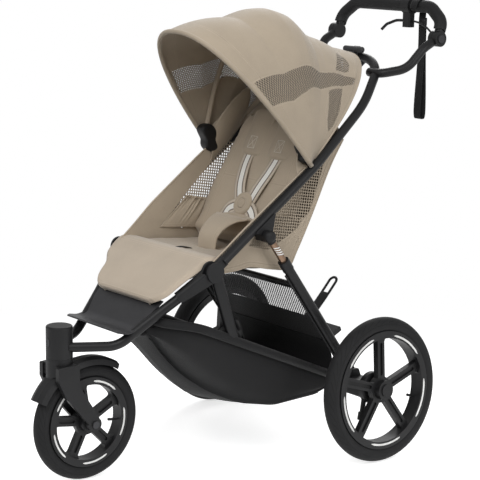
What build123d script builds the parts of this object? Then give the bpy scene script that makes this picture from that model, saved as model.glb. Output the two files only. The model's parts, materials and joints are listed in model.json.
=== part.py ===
from build123d import *
import math
import os

# Three-wheeled jogging stroller, built as an assembly of separate pieces.
# Millimetres, +Z up, the front of the stroller towards -Y, its left side towards +X.
# The origin is on the ground under the middle of the footprint. Stations along the
# stroller are measured from the rear axle line, and at() turns them into that frame.

os.makedirs("parts", exist_ok=True)

# ---- overall layout -------------------------------------------------------------
REAR_AXLE_Y = 223.5          # rear axle line, behind the middle of the footprint
WHEELBASE = 631.0            # rear axle to front axle
REAR_TRACK = 602.4           # between the middles of the rear wheels
CAMBER = 4.0                 # degrees, the rear wheels lean inwards at the top
REAR_WHEEL_R = 172.0         # over the tread
REAR_TYRE_R = 19.0           # radius of the tyre's section
FRONT_WHEEL_R = 135.5
FRONT_TYRE_R = 18.0
TRAIL = 69.0                 # steering axis ahead of the front axle

# ---- frame tubes ----------------------------------------------------------------
FRAME_HALF = 177.0           # middle of the main tube from the centre plane
TUBE_R = 11.0                # main, front and handle tubes
HUB_BACK = -409.0            # fold pivot, from the rear axle line
HUB_UP = 483.0
MAIN_SLOPE = 35.65           # degrees, main tube above the horizontal
SEAT_GAP = 0.3               # between pieces that seat on each other
RUN_FIT = 0.05               # radial play of a pin in its bore
SLIDE_FIT = 0.4              # each side of a part that moves between cheeks

# ---- rear legs ------------------------------------------------------------------
LEG_X = 200.0                # plane of each rear leg
LEG_TOP_BACK = -268.0        # upper pivot, under the main tube
LEG_TOP_UP = 552.0
LEG_FOOT_UP = 190.0          # lower pivot, over the axle line
SLEEVE_R = 12.0
SLEEVE_BORE_R = 8.6
INNER_R = 8.55
SLEEVE_LENGTH = 370.0        # from the lower pivot to the collar
INNER_START = 110.0          # lower end of the inner tube, from the lower pivot
CROSSBAR_AT = 292.0          # along the leg
CROSSBAR_R = 7.0

# ---- rear axle ------------------------------------------------------------------
AXLE_TUBE_R = 12.0
KNUCKLE_IN = 186.0           # inner face of the axle knuckle
KNUCKLE_OUT = 258.0
SPINDLE_R = 6.0
DRUM_R = 38.0
DRUM_WIDTH = 20.0

# ---- basket rail ----------------------------------------------------------------
RAIL_R = 9.0
RAIL_X = 172.0
RAIL_SLOPE = 23.4            # degrees, rising to the front
RAIL_RISE = 4.0              # rail above the axle tube, at the axle line
RAIL_FRONT = -445.0          # end of the straight part
RAIL_NOSE = -507.0           # front crosspiece of the rail
RAIL_NOSE_UP = 369.0
RAIL_NOSE_X = 126.0
STRUT_WIDTH = 28.0
STRUT_THICK = 18.0
STRUT_X = 172.0
STRUT_FOOT = -345.0
BASKET_LIP = 5.0             # rim of the basket above the rail's axis

# ---- steering head and fork -----------------------------------------------------
HEAD_R = 30.0
HEAD_TOP = 368.0
HEAD_SEAM = 295.0
CROWN_LOW = 236.0
LOCK_UP = 332.0              # swivel lock button
LOCK_WIDTH = 12.0
LOCK_HEIGHT = 18.0
LOCK_TRAVEL = 2.5
STEERER_R = 9.0
FORK_IN = 27.0               # inner face of each fork leg
FORK_THICK = 13.0
FORK_FOOT_R = 17.0
FENDER_GAP = 10.0            # tyre to the inside of the fender's crown
FENDER_HALF = 26.5
FENDER_WALL = 3.0
FENDER_REAR = 58.0           # degrees round the front axle, from the rear horizontal
FENDER_FRONT = 153.0

# ---- canopy ---------------------------------------------------------------------
CANOPY_BACK = -157.0         # canopy hinge
CANOPY_UP = 734.0
FRONT_BOW_ANGLE = 50.0       # degrees above the forward horizontal
MID_BOW_ANGLE = 97.0
REAR_BOW_ANGLE = 136.0
FRONT_BOW_X = 187.0
MID_BOW_X = 176.0
FRONT_BOW_REACH = 354.0
MID_BOW_REACH = 317.0
REAR_BOW_REACH = 318.0
BOW_R = 4.5
CANOPY_CLOTH = 2.5
CANOPY_FIT = 0.6             # bow to the cloth sleeved over it
SLEEVE_ROOT = 45.0           # start of the cloth sleeves, from the hinge
REAR_HEM_HALF = 165.0
REAR_HEM_ANGLE = REAR_BOW_ANGLE + 9.5
REAR_CLOTH_RISE = 14.0938    # crown of the cloth over the rear bow's middle line
CLOTH_ROOT = 58.0            # lower edge of the cloth, from the hinge

# ---- handlebar ------------------------------------------------------------------
GRIP_R = 15.5
HANDLE_BACK = 299.0          # middle of the crossbar
HANDLE_UP = 1053.0
SHOULDER_DROP = 34.0         # crossbar down to the bend of the loop's sides
TILT_BACK = HANDLE_BACK - 24.0
TILT_UP = HANDLE_UP - 74.0   # handlebar tilt pivot
TILT_TRAVEL = 2.5            # release buttons, pressed in
LEVER_UP = HANDLE_UP - 37.0  # brake lever's pin

# ---- seat -----------------------------------------------------------------------
PANEL_OUT = 165.7            # outer face of each side panel, beside the main tube
PANEL_CLOTH = 3.0
SIDE_GAP = 0.4               # cushions to the side panels
SEAT_HALF = PANEL_OUT - PANEL_CLOTH - SIDE_GAP
BACK_ANGLE = 64.0            # backrest above the horizontal, upright
BACK_LENGTH = 318.0
BACK_THICK = 24.0
RECLINE_BACK = -185.0        # recline line at the foot of the backrest
RECLINE_UP = 497.0


def at(x, back, up):
    """A point from its station behind the rear axle line."""
    return Vector(x, REAR_AXLE_Y + back, up)


def on_main(x, along, lift=0.0):
    """A point along the main tube from the fold pivot, and above its plane."""
    c = math.cos(math.radians(MAIN_SLOPE))
    s = math.sin(math.radians(MAIN_SLOPE))
    return at(x, HUB_BACK + along * c - lift * s, HUB_UP + along * s + lift * c)


LEG_FOOT = at(0, 0, LEG_FOOT_UP)
LEG_TOP = at(0, LEG_TOP_BACK, LEG_TOP_UP)
LEG_SPAN = (LEG_TOP - LEG_FOOT).length
LEG_ALONG = (LEG_TOP - LEG_FOOT).normalized()


def on_leg(x, along):
    return LEG_FOOT + LEG_ALONG * along + Vector(x, 0, 0)


def from_hinge(x, angle, reach):
    """A point in a plane through the canopy hinge line."""
    a = math.radians(angle)
    return at(x, CANOPY_BACK - reach * math.cos(a), CANOPY_UP + reach * math.sin(a))


def tube(points, radius, bends, bore=0.0):
    """A round bar or tube along straight runs joined by arcs."""
    path = FilletPolyline(*points, radius=bends) if bends else Line(*points)
    start = Plane(origin=path @ 0, z_dir=path % 0)
    ring = Circle(radius) - Circle(bore) if bore else Circle(radius)
    return sweep(start * ring, path=path)


def pin(a, b, radius):
    """A cylinder from one point to another."""
    return Plane(origin=a, z_dir=b - a) * Cylinder(
        radius, (b - a).length, align=(Align.CENTER, Align.CENTER, Align.MIN)
    )


def side_plate(points, x0, x1, corner=0.0):
    """A plate cut to an outline of (back, up) points, between two X planes."""
    outline = [(REAR_AXLE_Y + b, u) for b, u in points]
    face = make_face(Polyline(*outline, close=True))
    if corner:
        face = fillet(face.vertices(), corner)
    return extrude(Plane.YZ.offset(x0) * face, x1 - x0)


def disc(back, up, radius, x0, x1):
    """A round disc about an X axis."""
    return pin(at(x0, back, up), at(x1, back, up), radius)


def mirrored(solid):
    return mirror(solid, Plane.YZ)


def pair(solid):
    """A piece and its mirror image, kept as two solids."""
    return Compound(children=[solid, mirrored(solid)])


def on_axle(origin, axis=(1, 0, 0)):
    """A frame for round parts: local X points to the rear, local Z along the axle."""
    return Plane(origin=origin, x_dir=(0, 1, 0), z_dir=axis)


def write(name, shape):
    shape.label = name
    export_step(shape, f"parts/{name}.step")



# ---- wheels ---------------------------------------------------------------------
RIM_COVER = 31.5             # tyre standing above the rim's edge
RIM_DEPTH = 17.0
SPOKES = 5
SPOKE_WIDTH = 22.0
SPOKE_THICK = 15.0
SPOKE_GROOVE = 4.0
WINDOW_CORNER = 9.0
HUB_SHELL_R = 23.0
HUB_FLARE = 8.0              # web round the hub shell, between the spokes
HUB_INNER_END = -15.0        # ends of the rear hub, from the middle of the wheel
HUB_OUTER_END = 22.0
HUB_CAP = 3.0
REAR_SPOKE_ANGLE = 90.0
FRONT_SPOKE_ANGLE = 27.0
FRONT_AXLE_R = 5.0
FORK_HUB_GAP = 3.0


def tyre(wheel_r, section_r):
    ring = Pos(wheel_r - section_r, 0) * Circle(section_r)
    return revolve(Plane.XZ * ring, Axis.Z)


def rim(wheel_r, section_r, spoke_angle, bore_r, low, high):
    """Moulded wheel: channelled rim, grooved spokes and a hub, round local Z."""
    outer = wheel_r - RIM_COVER
    inner = outer - RIM_DEPTH
    half = section_r - 1.0
    channel = Pos((outer + inner) / 2, 0) * Rectangle(outer - inner, 2 * half)
    channel -= Pos(wheel_r - section_r, 0) * Circle(section_r + SEAT_GAP)
    ring = revolve(Plane.XZ * channel, Axis.Z)
    spokes = Sketch()
    grooves = Sketch()
    groove_length = inner - HUB_SHELL_R - SPOKE_WIDTH
    for k in range(SPOKES):
        turn = Rot(0, 0, spoke_angle + k * 360 / SPOKES)
        spokes += turn * Pos(wheel_r / 2, 0) * Rectangle(wheel_r, SPOKE_WIDTH)
        mid = (HUB_SHELL_R + inner) / 2
        grooves += turn * Pos(mid, 0) * SlotOverall(groove_length, SPOKE_WIDTH * 0.36)
    windows = Circle(inner) - Circle(HUB_SHELL_R + HUB_FLARE) - spokes
    corners = windows.vertices().group_by(lambda v: round(Vector(v).length))
    windows = fillet(corners[-1], WINDOW_CORNER)
    corners = windows.vertices().group_by(lambda v: round(Vector(v).length))
    windows = fillet(corners[0], WINDOW_CORNER / 2)
    web = extrude(Circle(inner + 1.0) - windows, SPOKE_THICK / 2, both=True)
    web -= extrude(Pos(0, 0, SPOKE_THICK / 2 - SPOKE_GROOVE) * grooves, 2 * SPOKE_GROOVE)
    hub = Pos(0, 0, (low + high) / 2) * Cylinder(HUB_SHELL_R, high - low)
    return ring + web + hub - Cylinder(bore_r, 8 * high)


AXLE_TILT = math.radians(CAMBER)
REAR_CENTRE_UP = (REAR_WHEEL_R - REAR_TYRE_R) * math.cos(AXLE_TILT) + REAR_TYRE_R
REAR_CENTRE = at(REAR_TRACK / 2, 0, REAR_CENTRE_UP)
SPINDLE_DIR = Vector(math.cos(AXLE_TILT), 0, math.sin(AXLE_TILT))


def on_spindle(offset):
    """A point on the left spindle, from the middle of the wheel."""
    return REAR_CENTRE + SPINDLE_DIR * offset


def at_spindle_x(x):
    return on_spindle((x - REAR_CENTRE.X) / SPINDLE_DIR.X)


AXLE_UP = at_spindle_x(KNUCKLE_IN).Z


def rear_wheels():
    frame = on_axle(REAR_CENTRE, SPINDLE_DIR)
    bore = SPINDLE_R + RUN_FIT
    wheel = rim(REAR_WHEEL_R, REAR_TYRE_R, REAR_SPOKE_ANGLE, bore, HUB_INNER_END, HUB_OUTER_END)
    cap = Pos(0, 0, HUB_OUTER_END) * Cylinder(
        HUB_SHELL_R * 0.62, HUB_CAP, align=(Align.CENTER, Align.CENTER, Align.MIN)
    )
    wheel = frame * (wheel + cap)
    rubber = frame * tyre(REAR_WHEEL_R, REAR_TYRE_R)
    write("left_rear_rim", wheel)
    write("left_rear_tyre", rubber)
    write("right_rear_rim", mirrored(wheel))
    write("right_rear_tyre", mirrored(rubber))


# ---- front wheel, fork and fender -----------------------------------------------
FRONT_AXLE = at(0, -WHEELBASE, FRONT_WHEEL_R)
STEER_BACK = -WHEELBASE - TRAIL
FENDER_OUT = FRONT_WHEEL_R + FENDER_GAP + 2 * FENDER_WALL
WELL_R = FENDER_OUT + SEAT_GAP
HUB_HALF = FORK_IN - FORK_HUB_GAP


def front_wheel():
    frame = on_axle(FRONT_AXLE)
    bore = FRONT_AXLE_R + RUN_FIT
    wheel = rim(FRONT_WHEEL_R, FRONT_TYRE_R, FRONT_SPOKE_ANGLE, bore, -HUB_HALF, HUB_HALF)
    write("front_rim", frame * wheel)
    write("front_tyre", frame * tyre(FRONT_WHEEL_R, FRONT_TYRE_R))


def front_axle():
    """Axle bolt with a head outside each fork leg and a spacer inside each."""
    half = FORK_IN + FORK_THICK
    bar = disc(-WHEELBASE, FRONT_WHEEL_R, FRONT_AXLE_R, -half - 1, half + 1)
    head = disc(-WHEELBASE, FRONT_WHEEL_R, 8.5, half + SEAT_GAP, half + 4)
    spacer = disc(-WHEELBASE, FRONT_WHEEL_R, 8.0, HUB_HALF + SEAT_GAP, FORK_IN - SEAT_GAP)
    return bar + head + mirrored(head) + spacer + mirrored(spacer)


def fork_blade():
    """One fork leg, wide at the crown and round at the axle."""
    r = FORK_FOOT_R
    outline = [
        (STEER_BACK - HEAD_R + 3, HEAD_SEAM - 14),
        (STEER_BACK - HEAD_R + 3, CROWN_LOW + 14),
        (STEER_BACK - 8, CROWN_LOW - 26),
        (-WHEELBASE - r, FRONT_WHEEL_R + 4),
        (-WHEELBASE + r, FRONT_WHEEL_R + 4),
        (STEER_BACK + HEAD_R - 1, CROWN_LOW - 6),
        (STEER_BACK + HEAD_R - 3, HEAD_SEAM - 14),
    ]
    blade = side_plate(outline, FORK_IN, FORK_IN + FORK_THICK, 3.0)
    return blade + disc(-WHEELBASE, FRONT_WHEEL_R, r, FORK_IN, FORK_IN + FORK_THICK)


def front_fork():
    """Crown, two blades and the steerer that turns in the head."""
    top = HEAD_SEAM - SLIDE_FIT
    crown = pin(at(0, STEER_BACK, CROWN_LOW), at(0, STEER_BACK, top), HEAD_R)
    shoulder = Pos(at(0, STEER_BACK, (CROWN_LOW + top) / 2)) * Box(
        2 * (FORK_IN + FORK_THICK), 2 * HEAD_R - 14, top - CROWN_LOW - 2 * 13
    )
    shoulder = fillet(shoulder.edges().filter_by(Axis.Z), 10)
    blade = fork_blade()
    steerer = pin(at(0, STEER_BACK, top - 2), at(0, STEER_BACK, HEAD_TOP - 14), STEERER_R)
    body = crown + shoulder + blade + mirrored(blade) + steerer
    body -= disc(-WHEELBASE, FRONT_WHEEL_R, WELL_R, -FORK_IN, FORK_IN)
    return body - disc(-WHEELBASE, FRONT_WHEEL_R, FRONT_AXLE_R + RUN_FIT, -HEAD_R * 2, HEAD_R * 2)


def front_fender():
    """Arched guard over the tyre, crowned across its width."""
    skin = FENDER_WALL
    rise = FENDER_OUT
    half = FENDER_HALF
    right = [(rise, 0), (rise, half * 0.35), (rise - 5, half * 0.85), (rise - 17, half)]
    inside = [(rise - 17, half - skin), (rise - 5 - skin, half * 0.85 - skin),
              (rise - skin, half * 0.35 - 1), (rise - skin, 0)]
    outline = right + inside
    mirror_side = [(r, -w) for r, w in reversed(outline[1:-1])]
    section = make_face(Polyline(*outline, *mirror_side, close=True))
    arch = revolve(Plane.XZ * section, Axis.Z, revolution_arc=FENDER_FRONT - FENDER_REAR)
    return on_axle(FRONT_AXLE) * (Rot(0, 0, FENDER_REAR) * arch)


def head_housing():
    """Fixed steering head with a blind bore for the steerer and a button well."""
    body = pin(at(0, STEER_BACK, HEAD_SEAM), at(0, STEER_BACK, HEAD_TOP), HEAD_R)
    body = fillet(body.edges().group_by(Axis.Z)[-1], 4)
    bore = pin(at(0, STEER_BACK, HEAD_SEAM - 1), at(0, STEER_BACK, HEAD_TOP - 12),
               STEERER_R + RUN_FIT)
    return body - bore - lock_button(SLIDE_FIT, 4 * LOCK_TRAVEL)


def lock_button(grow=0.0, deep=2 * LOCK_TRAVEL):
    """Oval swivel-lock button in the front of the head."""
    face = at(0, STEER_BACK - HEAD_R - 0.8, LOCK_UP)
    plane = Plane(origin=face, x_dir=(0, 0, 1), z_dir=(0, 1, 0))
    shape = SlotOverall(LOCK_HEIGHT + 2 * grow, LOCK_WIDTH + 2 * grow)
    return extrude(plane * shape, deep + 3)


# ---- front frame ----------------------------------------------------------------
NECK_X = 22.0                # where each front tube enters the head
NECK_UP = 320.0
WISHBONE = [(82.0, -600.0, 322.0, 70.0), (124.0, -508.0, 398.6, 150.0)]
HUB_IN = 164.0
HUB_OUT = 189.5
HUB_SLOT_IN = 170.6
HUB_SLOT_OUT = 183.4
HUB_EYE_R = 21.0
HUB_PIN_R = 6.0
KNUCKLE_EYE_R = 17.0
TUBE_START = 34.0            # main tube's end, from the fold pivot
HUB_HEAD_R = 23.0            # rounded end of the hub, round the fold pin
ARM_FRONT = 0.31             # where the hub's arm starts on the last run of the front tube
ARM_FRONT_WIDTH = 28.0
ARM_FRONT_HEIGHT = 28.0
ARM_REAR_HEIGHT = 38.0
HUB_FLOOR = 12.0             # bottom of the slot, under the eye's axis
FOLD_LIMIT = 120.0           # degrees, the upper frame folded forwards


def front_run(share):
    """A point on the straight last run of the front tube, which ends at the fold pivot."""
    x, back, up, _ = WISHBONE[-1]
    corner = at(x, back, up)
    return corner + (at(FRAME_HALF, HUB_BACK, HUB_UP) - corner) * share


def front_tube_points():
    start = at(NECK_X, STEER_BACK + 12, NECK_UP)
    bends = [at(x, back, up) for x, back, up, _ in WISHBONE]
    return [start, *bends, front_run(0.75)]


def front_rod(grow=0.0):
    return tube(front_tube_points(), TUBE_R + grow, [w[3] for w in WISHBONE])


def front_tube():
    """Wishbone tube from the head out, back and up into the fold hub."""
    head = pin(at(0, STEER_BACK, HEAD_SEAM), at(0, STEER_BACK, HEAD_TOP), HEAD_R + SEAT_GAP)
    body = front_rod() - head - hub_shell(SEAT_GAP)
    return body.solids().sort_by(SortBy.VOLUME)[-1]


def hub_shell(grow=0.0):
    """Outer form of the fold hub: a round head and the arm that takes the front tube."""
    middle = (HUB_IN + HUB_OUT) / 2
    width = HUB_OUT - HUB_IN + 2 * grow
    head = disc(HUB_BACK, HUB_UP, HUB_HEAD_R + grow, HUB_IN - grow, HUB_OUT + grow)
    run = (front_run(1) - front_run(0)).normalized()
    level = Vector(run.Y, -run.X, 0)
    rear = Plane(origin=at(middle, HUB_BACK, HUB_UP - 3), x_dir=(1, 0, 0), z_dir=(0, run.Y, run.Z))
    front = Plane(origin=front_run(ARM_FRONT) - run * grow, x_dir=level, z_dir=run)
    sections = [
        front * RectangleRounded(ARM_FRONT_WIDTH + 2 * grow, ARM_FRONT_HEIGHT + 2 * grow, 10),
        rear * RectangleRounded(width, ARM_REAR_HEIGHT + 2 * grow, 5),
    ]
    return head + loft(sections)


def fold_hub():
    """Forked hub: two cheeks, the fold pin and the socket of the front tube."""
    slot = disc(HUB_BACK, HUB_UP, KNUCKLE_EYE_R + 1.5, HUB_SLOT_IN, HUB_SLOT_OUT)
    corners = []
    for angle, side, reach in ((MAIN_SLOPE + FOLD_LIMIT, 1, 60), (MAIN_SLOPE + FOLD_LIMIT, 1, 0),
                               (MAIN_SLOPE, -1, 0), (MAIN_SLOPE, -1, 60)):
        a = math.radians(angle)
        corners.append((HUB_BACK + reach * math.cos(a) - side * HUB_FLOOR * math.sin(a),
                        HUB_UP + reach * math.sin(a) + side * HUB_FLOOR * math.cos(a)))
    corners += [(HUB_BACK + 70, HUB_UP + 90), (HUB_BACK - 70, HUB_UP + 90)]
    open_up = side_plate(corners, HUB_SLOT_IN, HUB_SLOT_OUT)
    bolt = disc(HUB_BACK, HUB_UP, HUB_PIN_R, HUB_IN + 1, HUB_OUT - 1)
    body = hub_shell() - slot - open_up - leg_rest_body(SEAT_GAP)
    return body.solids().sort_by(SortBy.VOLUME)[-1] + bolt


def strut():
    """Stay from the fold hub down to the basket rail."""
    top = at(STRUT_X, HUB_BACK + 13, HUB_UP - 10)
    foot = rail_point(STRUT_X, STRUT_FOOT) + Vector(0, 0, BASKET_LIP + 1)
    plane = Plane(origin=foot, x_dir=(1, 0, 0), z_dir=top - foot)
    body = extrude(plane * RectangleRounded(STRUT_THICK, STRUT_WIDTH, 8), (top - foot).length)
    rail = tube([rail_point(RAIL_X, -420), rail_point(RAIL_X, -200)], RAIL_R + SEAT_GAP, None)
    body = body - rail - hub_shell(SEAT_GAP)
    return body.solids().sort_by(SortBy.VOLUME)[-1]


def rail_point(x, back):
    """A point on the straight part of the basket rail."""
    return at(x, back, AXLE_UP + RAIL_RISE - back * math.tan(math.radians(RAIL_SLOPE)))


def basket_rail():
    """One bent bar round the rim of the basket, open at the axle."""
    straight = rail_point(RAIL_X, RAIL_FRONT)
    corner = at(RAIL_NOSE_X, RAIL_NOSE, RAIL_NOSE_UP)
    left = [rail_point(RAIL_X, -8), straight, corner]
    right = [Vector(-p.X, p.Y, p.Z) for p in reversed(left)]
    body = tube(left + right, RAIL_R, [90, 48, 48, 90])
    return body - axle_tube(SEAT_GAP)


def axle_tube(grow=0.0):
    return pin(at(-KNUCKLE_IN, 0, AXLE_UP), at(KNUCKLE_IN, 0, AXLE_UP), AXLE_TUBE_R + grow)


# ---- rear axle ends ---------------------------------------------------------------
FOOT_THICK = 15.0
FOOT_EYE_R = 12.0
FOOT_PIN_R = 5.0
KNUCKLE_HALF = 23.0


def axle_knuckle():
    """Moulded end of the axle: ears and pin for the leg, and the wheel spindle."""
    block = side_plate(
        [(-KNUCKLE_HALF, AXLE_UP - 20), (KNUCKLE_HALF, AXLE_UP - 20),
         (KNUCKLE_HALF, AXLE_UP + 12), (FOOT_EYE_R, LEG_FOOT_UP + FOOT_EYE_R),
         (-FOOT_EYE_R, LEG_FOOT_UP + FOOT_EYE_R), (-KNUCKLE_HALF, AXLE_UP + 12)],
        KNUCKLE_IN + SEAT_GAP, KNUCKLE_OUT, 6.0)
    outer_cut = LEG_X + FOOT_THICK / 2 + 8
    block -= Pos(at((outer_cut + KNUCKLE_OUT + 20) / 2, 0, AXLE_UP + 45)) * Box(
        KNUCKLE_OUT + 20 - outer_cut, 4 * KNUCKLE_HALF, 50)
    slot_half = FOOT_THICK / 2 + SLIDE_FIT
    block -= Pos(at(LEG_X, 0, LEG_FOOT_UP + 20)) * Box(
        2 * slot_half, 4 * KNUCKLE_HALF, 2 * (20 + FOOT_EYE_R + 1.5))
    bolt = disc(0, LEG_FOOT_UP, FOOT_PIN_R, KNUCKLE_IN + 1, outer_cut - 1)
    spindle = pin(at_spindle_x(KNUCKLE_OUT - 8), on_spindle(HUB_OUTER_END - 2), SPINDLE_R)
    return block + bolt + spindle


def brake_drum():
    """Drum brake behind the hub, with its lever boss and cable adjuster."""
    inner = on_spindle(HUB_INNER_END - SEAT_GAP - 1 - DRUM_WIDTH)
    outer = on_spindle(HUB_INNER_END - SEAT_GAP - 1)
    body = pin(inner, outer, DRUM_R)
    body = chamfer(body.edges().filter_by(GeomType.CIRCLE), 3)
    body -= pin(inner - SPINDLE_DIR * 5, outer + SPINDLE_DIR * 5, SPINDLE_R + SEAT_GAP)
    x = inner.X + DRUM_WIDTH / 2
    arm = pin(at(x, -24, AXLE_UP - 10), at(x, -30, AXLE_UP - 52), 6)
    knob = pin(at(x, -30, AXLE_UP - 50), at(x, -33, AXLE_UP - 68), 9)
    return body + arm + knob


# ---- rear legs --------------------------------------------------------------------
def leg_sleeve():
    """Lower leg: a tongue on the axle pin, an open tube above and a collar."""
    foot = disc(0, LEG_FOOT_UP, FOOT_EYE_R, LEG_X - FOOT_THICK / 2, LEG_X + FOOT_THICK / 2)
    plane = Plane(origin=on_leg(LEG_X, 0), x_dir=(1, 0, 0), z_dir=LEG_ALONG)
    tongue = plane * Box(FOOT_THICK, 2 * FOOT_EYE_R, 42,
                         align=(Align.CENTER, Align.CENTER, Align.MIN))
    sleeve = pin(on_leg(LEG_X, 38), on_leg(LEG_X, SLEEVE_LENGTH), SLEEVE_R)
    collar = pin(on_leg(LEG_X, SLEEVE_LENGTH - 24), on_leg(LEG_X, SLEEVE_LENGTH + 4), SLEEVE_R + 1.5)
    bore = pin(on_leg(LEG_X, INNER_START - 12), on_leg(LEG_X, SLEEVE_LENGTH + 10), SLEEVE_BORE_R)
    body = foot + tongue + sleeve + collar - bore
    return body - disc(0, LEG_FOOT_UP, FOOT_PIN_R + RUN_FIT, LEG_X - 30, LEG_X + 30)


def rear_leg_frame():
    """Both lower legs and the crossbar between them."""
    sleeve = leg_sleeve()
    bar = pin(on_leg(-LEG_X, CROSSBAR_AT), on_leg(LEG_X, CROSSBAR_AT), CROSSBAR_R)
    for sign in (-1, 1):
        bar -= pin(on_leg(sign * LEG_X, INNER_START - 12), on_leg(sign * LEG_X, SLEEVE_LENGTH),
                   SLEEVE_BORE_R + 0.5)
    return sleeve + mirrored(sleeve) + bar


EYE_R = 13.0
EYE_THICK = 14.0
BRACKET_IN = 168.0
BRACKET_GAP = 0.6            # open upper pivot: bracket to the leg's inner tube


def leg_inner():
    """Inner leg tube with the flattened eye and bolt of the upper pivot."""
    rod = pin(on_leg(LEG_X, INNER_START), on_leg(LEG_X, LEG_SPAN - 8), INNER_R)
    eye = disc(LEG_TOP_BACK, LEG_TOP_UP, EYE_R, LEG_X - EYE_THICK / 2, LEG_X + EYE_THICK / 2)
    bolt = disc(LEG_TOP_BACK, LEG_TOP_UP, 6, LEG_X + EYE_THICK / 2, LEG_X + EYE_THICK / 2 + 3)
    return rod + eye + bolt


def leg_bracket():
    """Bracket under the main tube that the leg's upper pivot sits against."""
    base = LEG_TOP_BACK
    outline = [(base - 16, LEG_TOP_UP + 6), (base - 10, LEG_TOP_UP - 12),
               (base + 10, LEG_TOP_UP - 14), (base + 20, LEG_TOP_UP + 2),
               (base + 30, LEG_TOP_UP + 52), (base - 34, LEG_TOP_UP + 6)]
    body = side_plate(outline, BRACKET_IN, LEG_X - INNER_R - BRACKET_GAP, 3)
    body -= tube([on_main(FRAME_HALF, 60), on_main(FRAME_HALF, 300)], TUBE_R + SEAT_GAP, None)
    return body.solids().sort_by(SortBy.VOLUME)[-1]


# ---- footrest ---------------------------------------------------------------------
FOOTREST_WALL = 4.0
FOOTREST_TOP = (-503.0, 416.5)
FOOTREST_HEEL = (-572.0, 352.0)
FOOTREST_LIP = (-612.0, 358.0)
FOOTREST_LIP_HALF = 111.0


def footrest():
    """Moulded shell that drops from the leg rest and curls up at the toes."""
    t = FOOTREST_WALL
    top, heel, lip = FOOTREST_TOP, FOOTREST_HEEL, FOOTREST_LIP
    points = [(REAR_AXLE_Y + b, u) for b, u in (top, heel, lip)]
    path = FilletPolyline(*points, radius=38)
    skin = Plane.YZ * make_hull_strip(path, t)
    body = extrude(skin, FRAME_HALF, both=True)
    half = FOOTREST_LIP_HALF
    plan = [(0, lip[0] - 5), (half - 14, lip[0] - 5), (half, lip[0] + 12),
            (half - 8, heel[0] + 8), (half, heel[0] + 36), (half + 8, top[0] + 10)]
    outline = [(x, REAR_AXLE_Y + b) for x, b in plan]
    outline += [(-x, y) for x, y in reversed(outline[1:])]
    prism = extrude(Plane.XY * make_face(Polyline(*outline, close=True)), 600)
    body = body & prism
    for cutter in (front_rod(SEAT_GAP), hub_shell(SEAT_GAP)):
        body = body - cutter - mirrored(cutter)
    return body.solids().sort_by(SortBy.VOLUME)[-1]


def make_hull_strip(path, thickness):
    """A strip of even thickness along a flat path."""
    return make_face(offset(path, thickness / 2, side=Side.BOTH))


# ---- upper frame ------------------------------------------------------------------
ARCH_TOP = 738.0             # crown of the arch, along the main tube
ARCH_LIFT = 16.0
ARCH = [(FRAME_HALF, 372.0, 0.0, 420.0), (148.0, 588.0, 3.0, 300.0),
        (84.0, ARCH_TOP, ARCH_LIFT, 112.0)]
ARM_REACH = 690.0            # where the handle arm leaves the arch
ARM = [(118.0, 137.0, 894.0, 45.0), (165.0, 190.0, 908.0, 60.0),
       (FRAME_HALF, TILT_BACK - 43.0, TILT_UP - 22.0, 40.0)]
PIVOT_DISC_R = 19.0
PIVOT_SPLIT = 177.0
ARM_DISC_IN = 166.0
TILT_DISC_OUT = 192.5
TILT_PIN_R = 5.0


def arch_points():
    left = [on_main(FRAME_HALF, TUBE_START)]
    left += [on_main(x, s, lift) for x, s, lift, _ in ARCH]
    right = [Vector(-p.X, p.Y, p.Z) for p in reversed(left)]
    return left + right


def arch(radius):
    bends = [a[3] for a in ARCH]
    return tube(arch_points(), radius, bends + bends[::-1])


def main_tube():
    """The arched main tube with the eye of the fold pivot at each end."""
    body = arch(TUBE_R)
    c = (HUB_SLOT_IN + HUB_SLOT_OUT) / 2
    half = (HUB_SLOT_OUT - HUB_SLOT_IN) / 2 - SLIDE_FIT
    eye = disc(HUB_BACK, HUB_UP, KNUCKLE_EYE_R, c - half, c + half)
    a, b = on_main(c, 0), on_main(c, TUBE_START + 6)
    plane = Plane(origin=a, x_dir=(1, 0, 0), z_dir=b - a)
    eye += plane * Box(2 * half, 2 * TUBE_R, (b - a).length,
                       align=(Align.CENTER, Align.CENTER, Align.MIN))
    eye -= disc(HUB_BACK, HUB_UP, HUB_PIN_R + RUN_FIT, HUB_IN, HUB_OUT)
    return body + eye + mirrored(eye)


def handle_arm():
    """Arm from the arch's shoulder out to the tilt pivot."""
    start = on_main(84, ARM_REACH, 14)
    points = [start] + [at(x, b, u) for x, b, u, _ in ARM]
    points.append(at(FRAME_HALF, TILT_BACK - 8, TILT_UP - 5))
    rod = tube(points, TUBE_R, [a[3] for a in ARM])
    rod -= disc(TILT_BACK, TILT_UP, PIVOT_DISC_R + SLIDE_FIT, PIVOT_SPLIT - SLIDE_FIT,
                FRAME_HALF + 2 * TUBE_R)
    cup = disc(TILT_BACK, TILT_UP, PIVOT_DISC_R, ARM_DISC_IN, PIVOT_SPLIT - SLIDE_FIT)
    bolt = disc(TILT_BACK, TILT_UP, TILT_PIN_R, PIVOT_SPLIT - 1, TILT_DISC_OUT - 6)
    body = rod + cup + bolt - arch(TUBE_R + SEAT_GAP)
    return body.solids().sort_by(SortBy.VOLUME)[-1]


SOCKET_IN = 160.0
SOCKET_OUT = 168.0
BOW_PIN_R = 3.0


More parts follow.
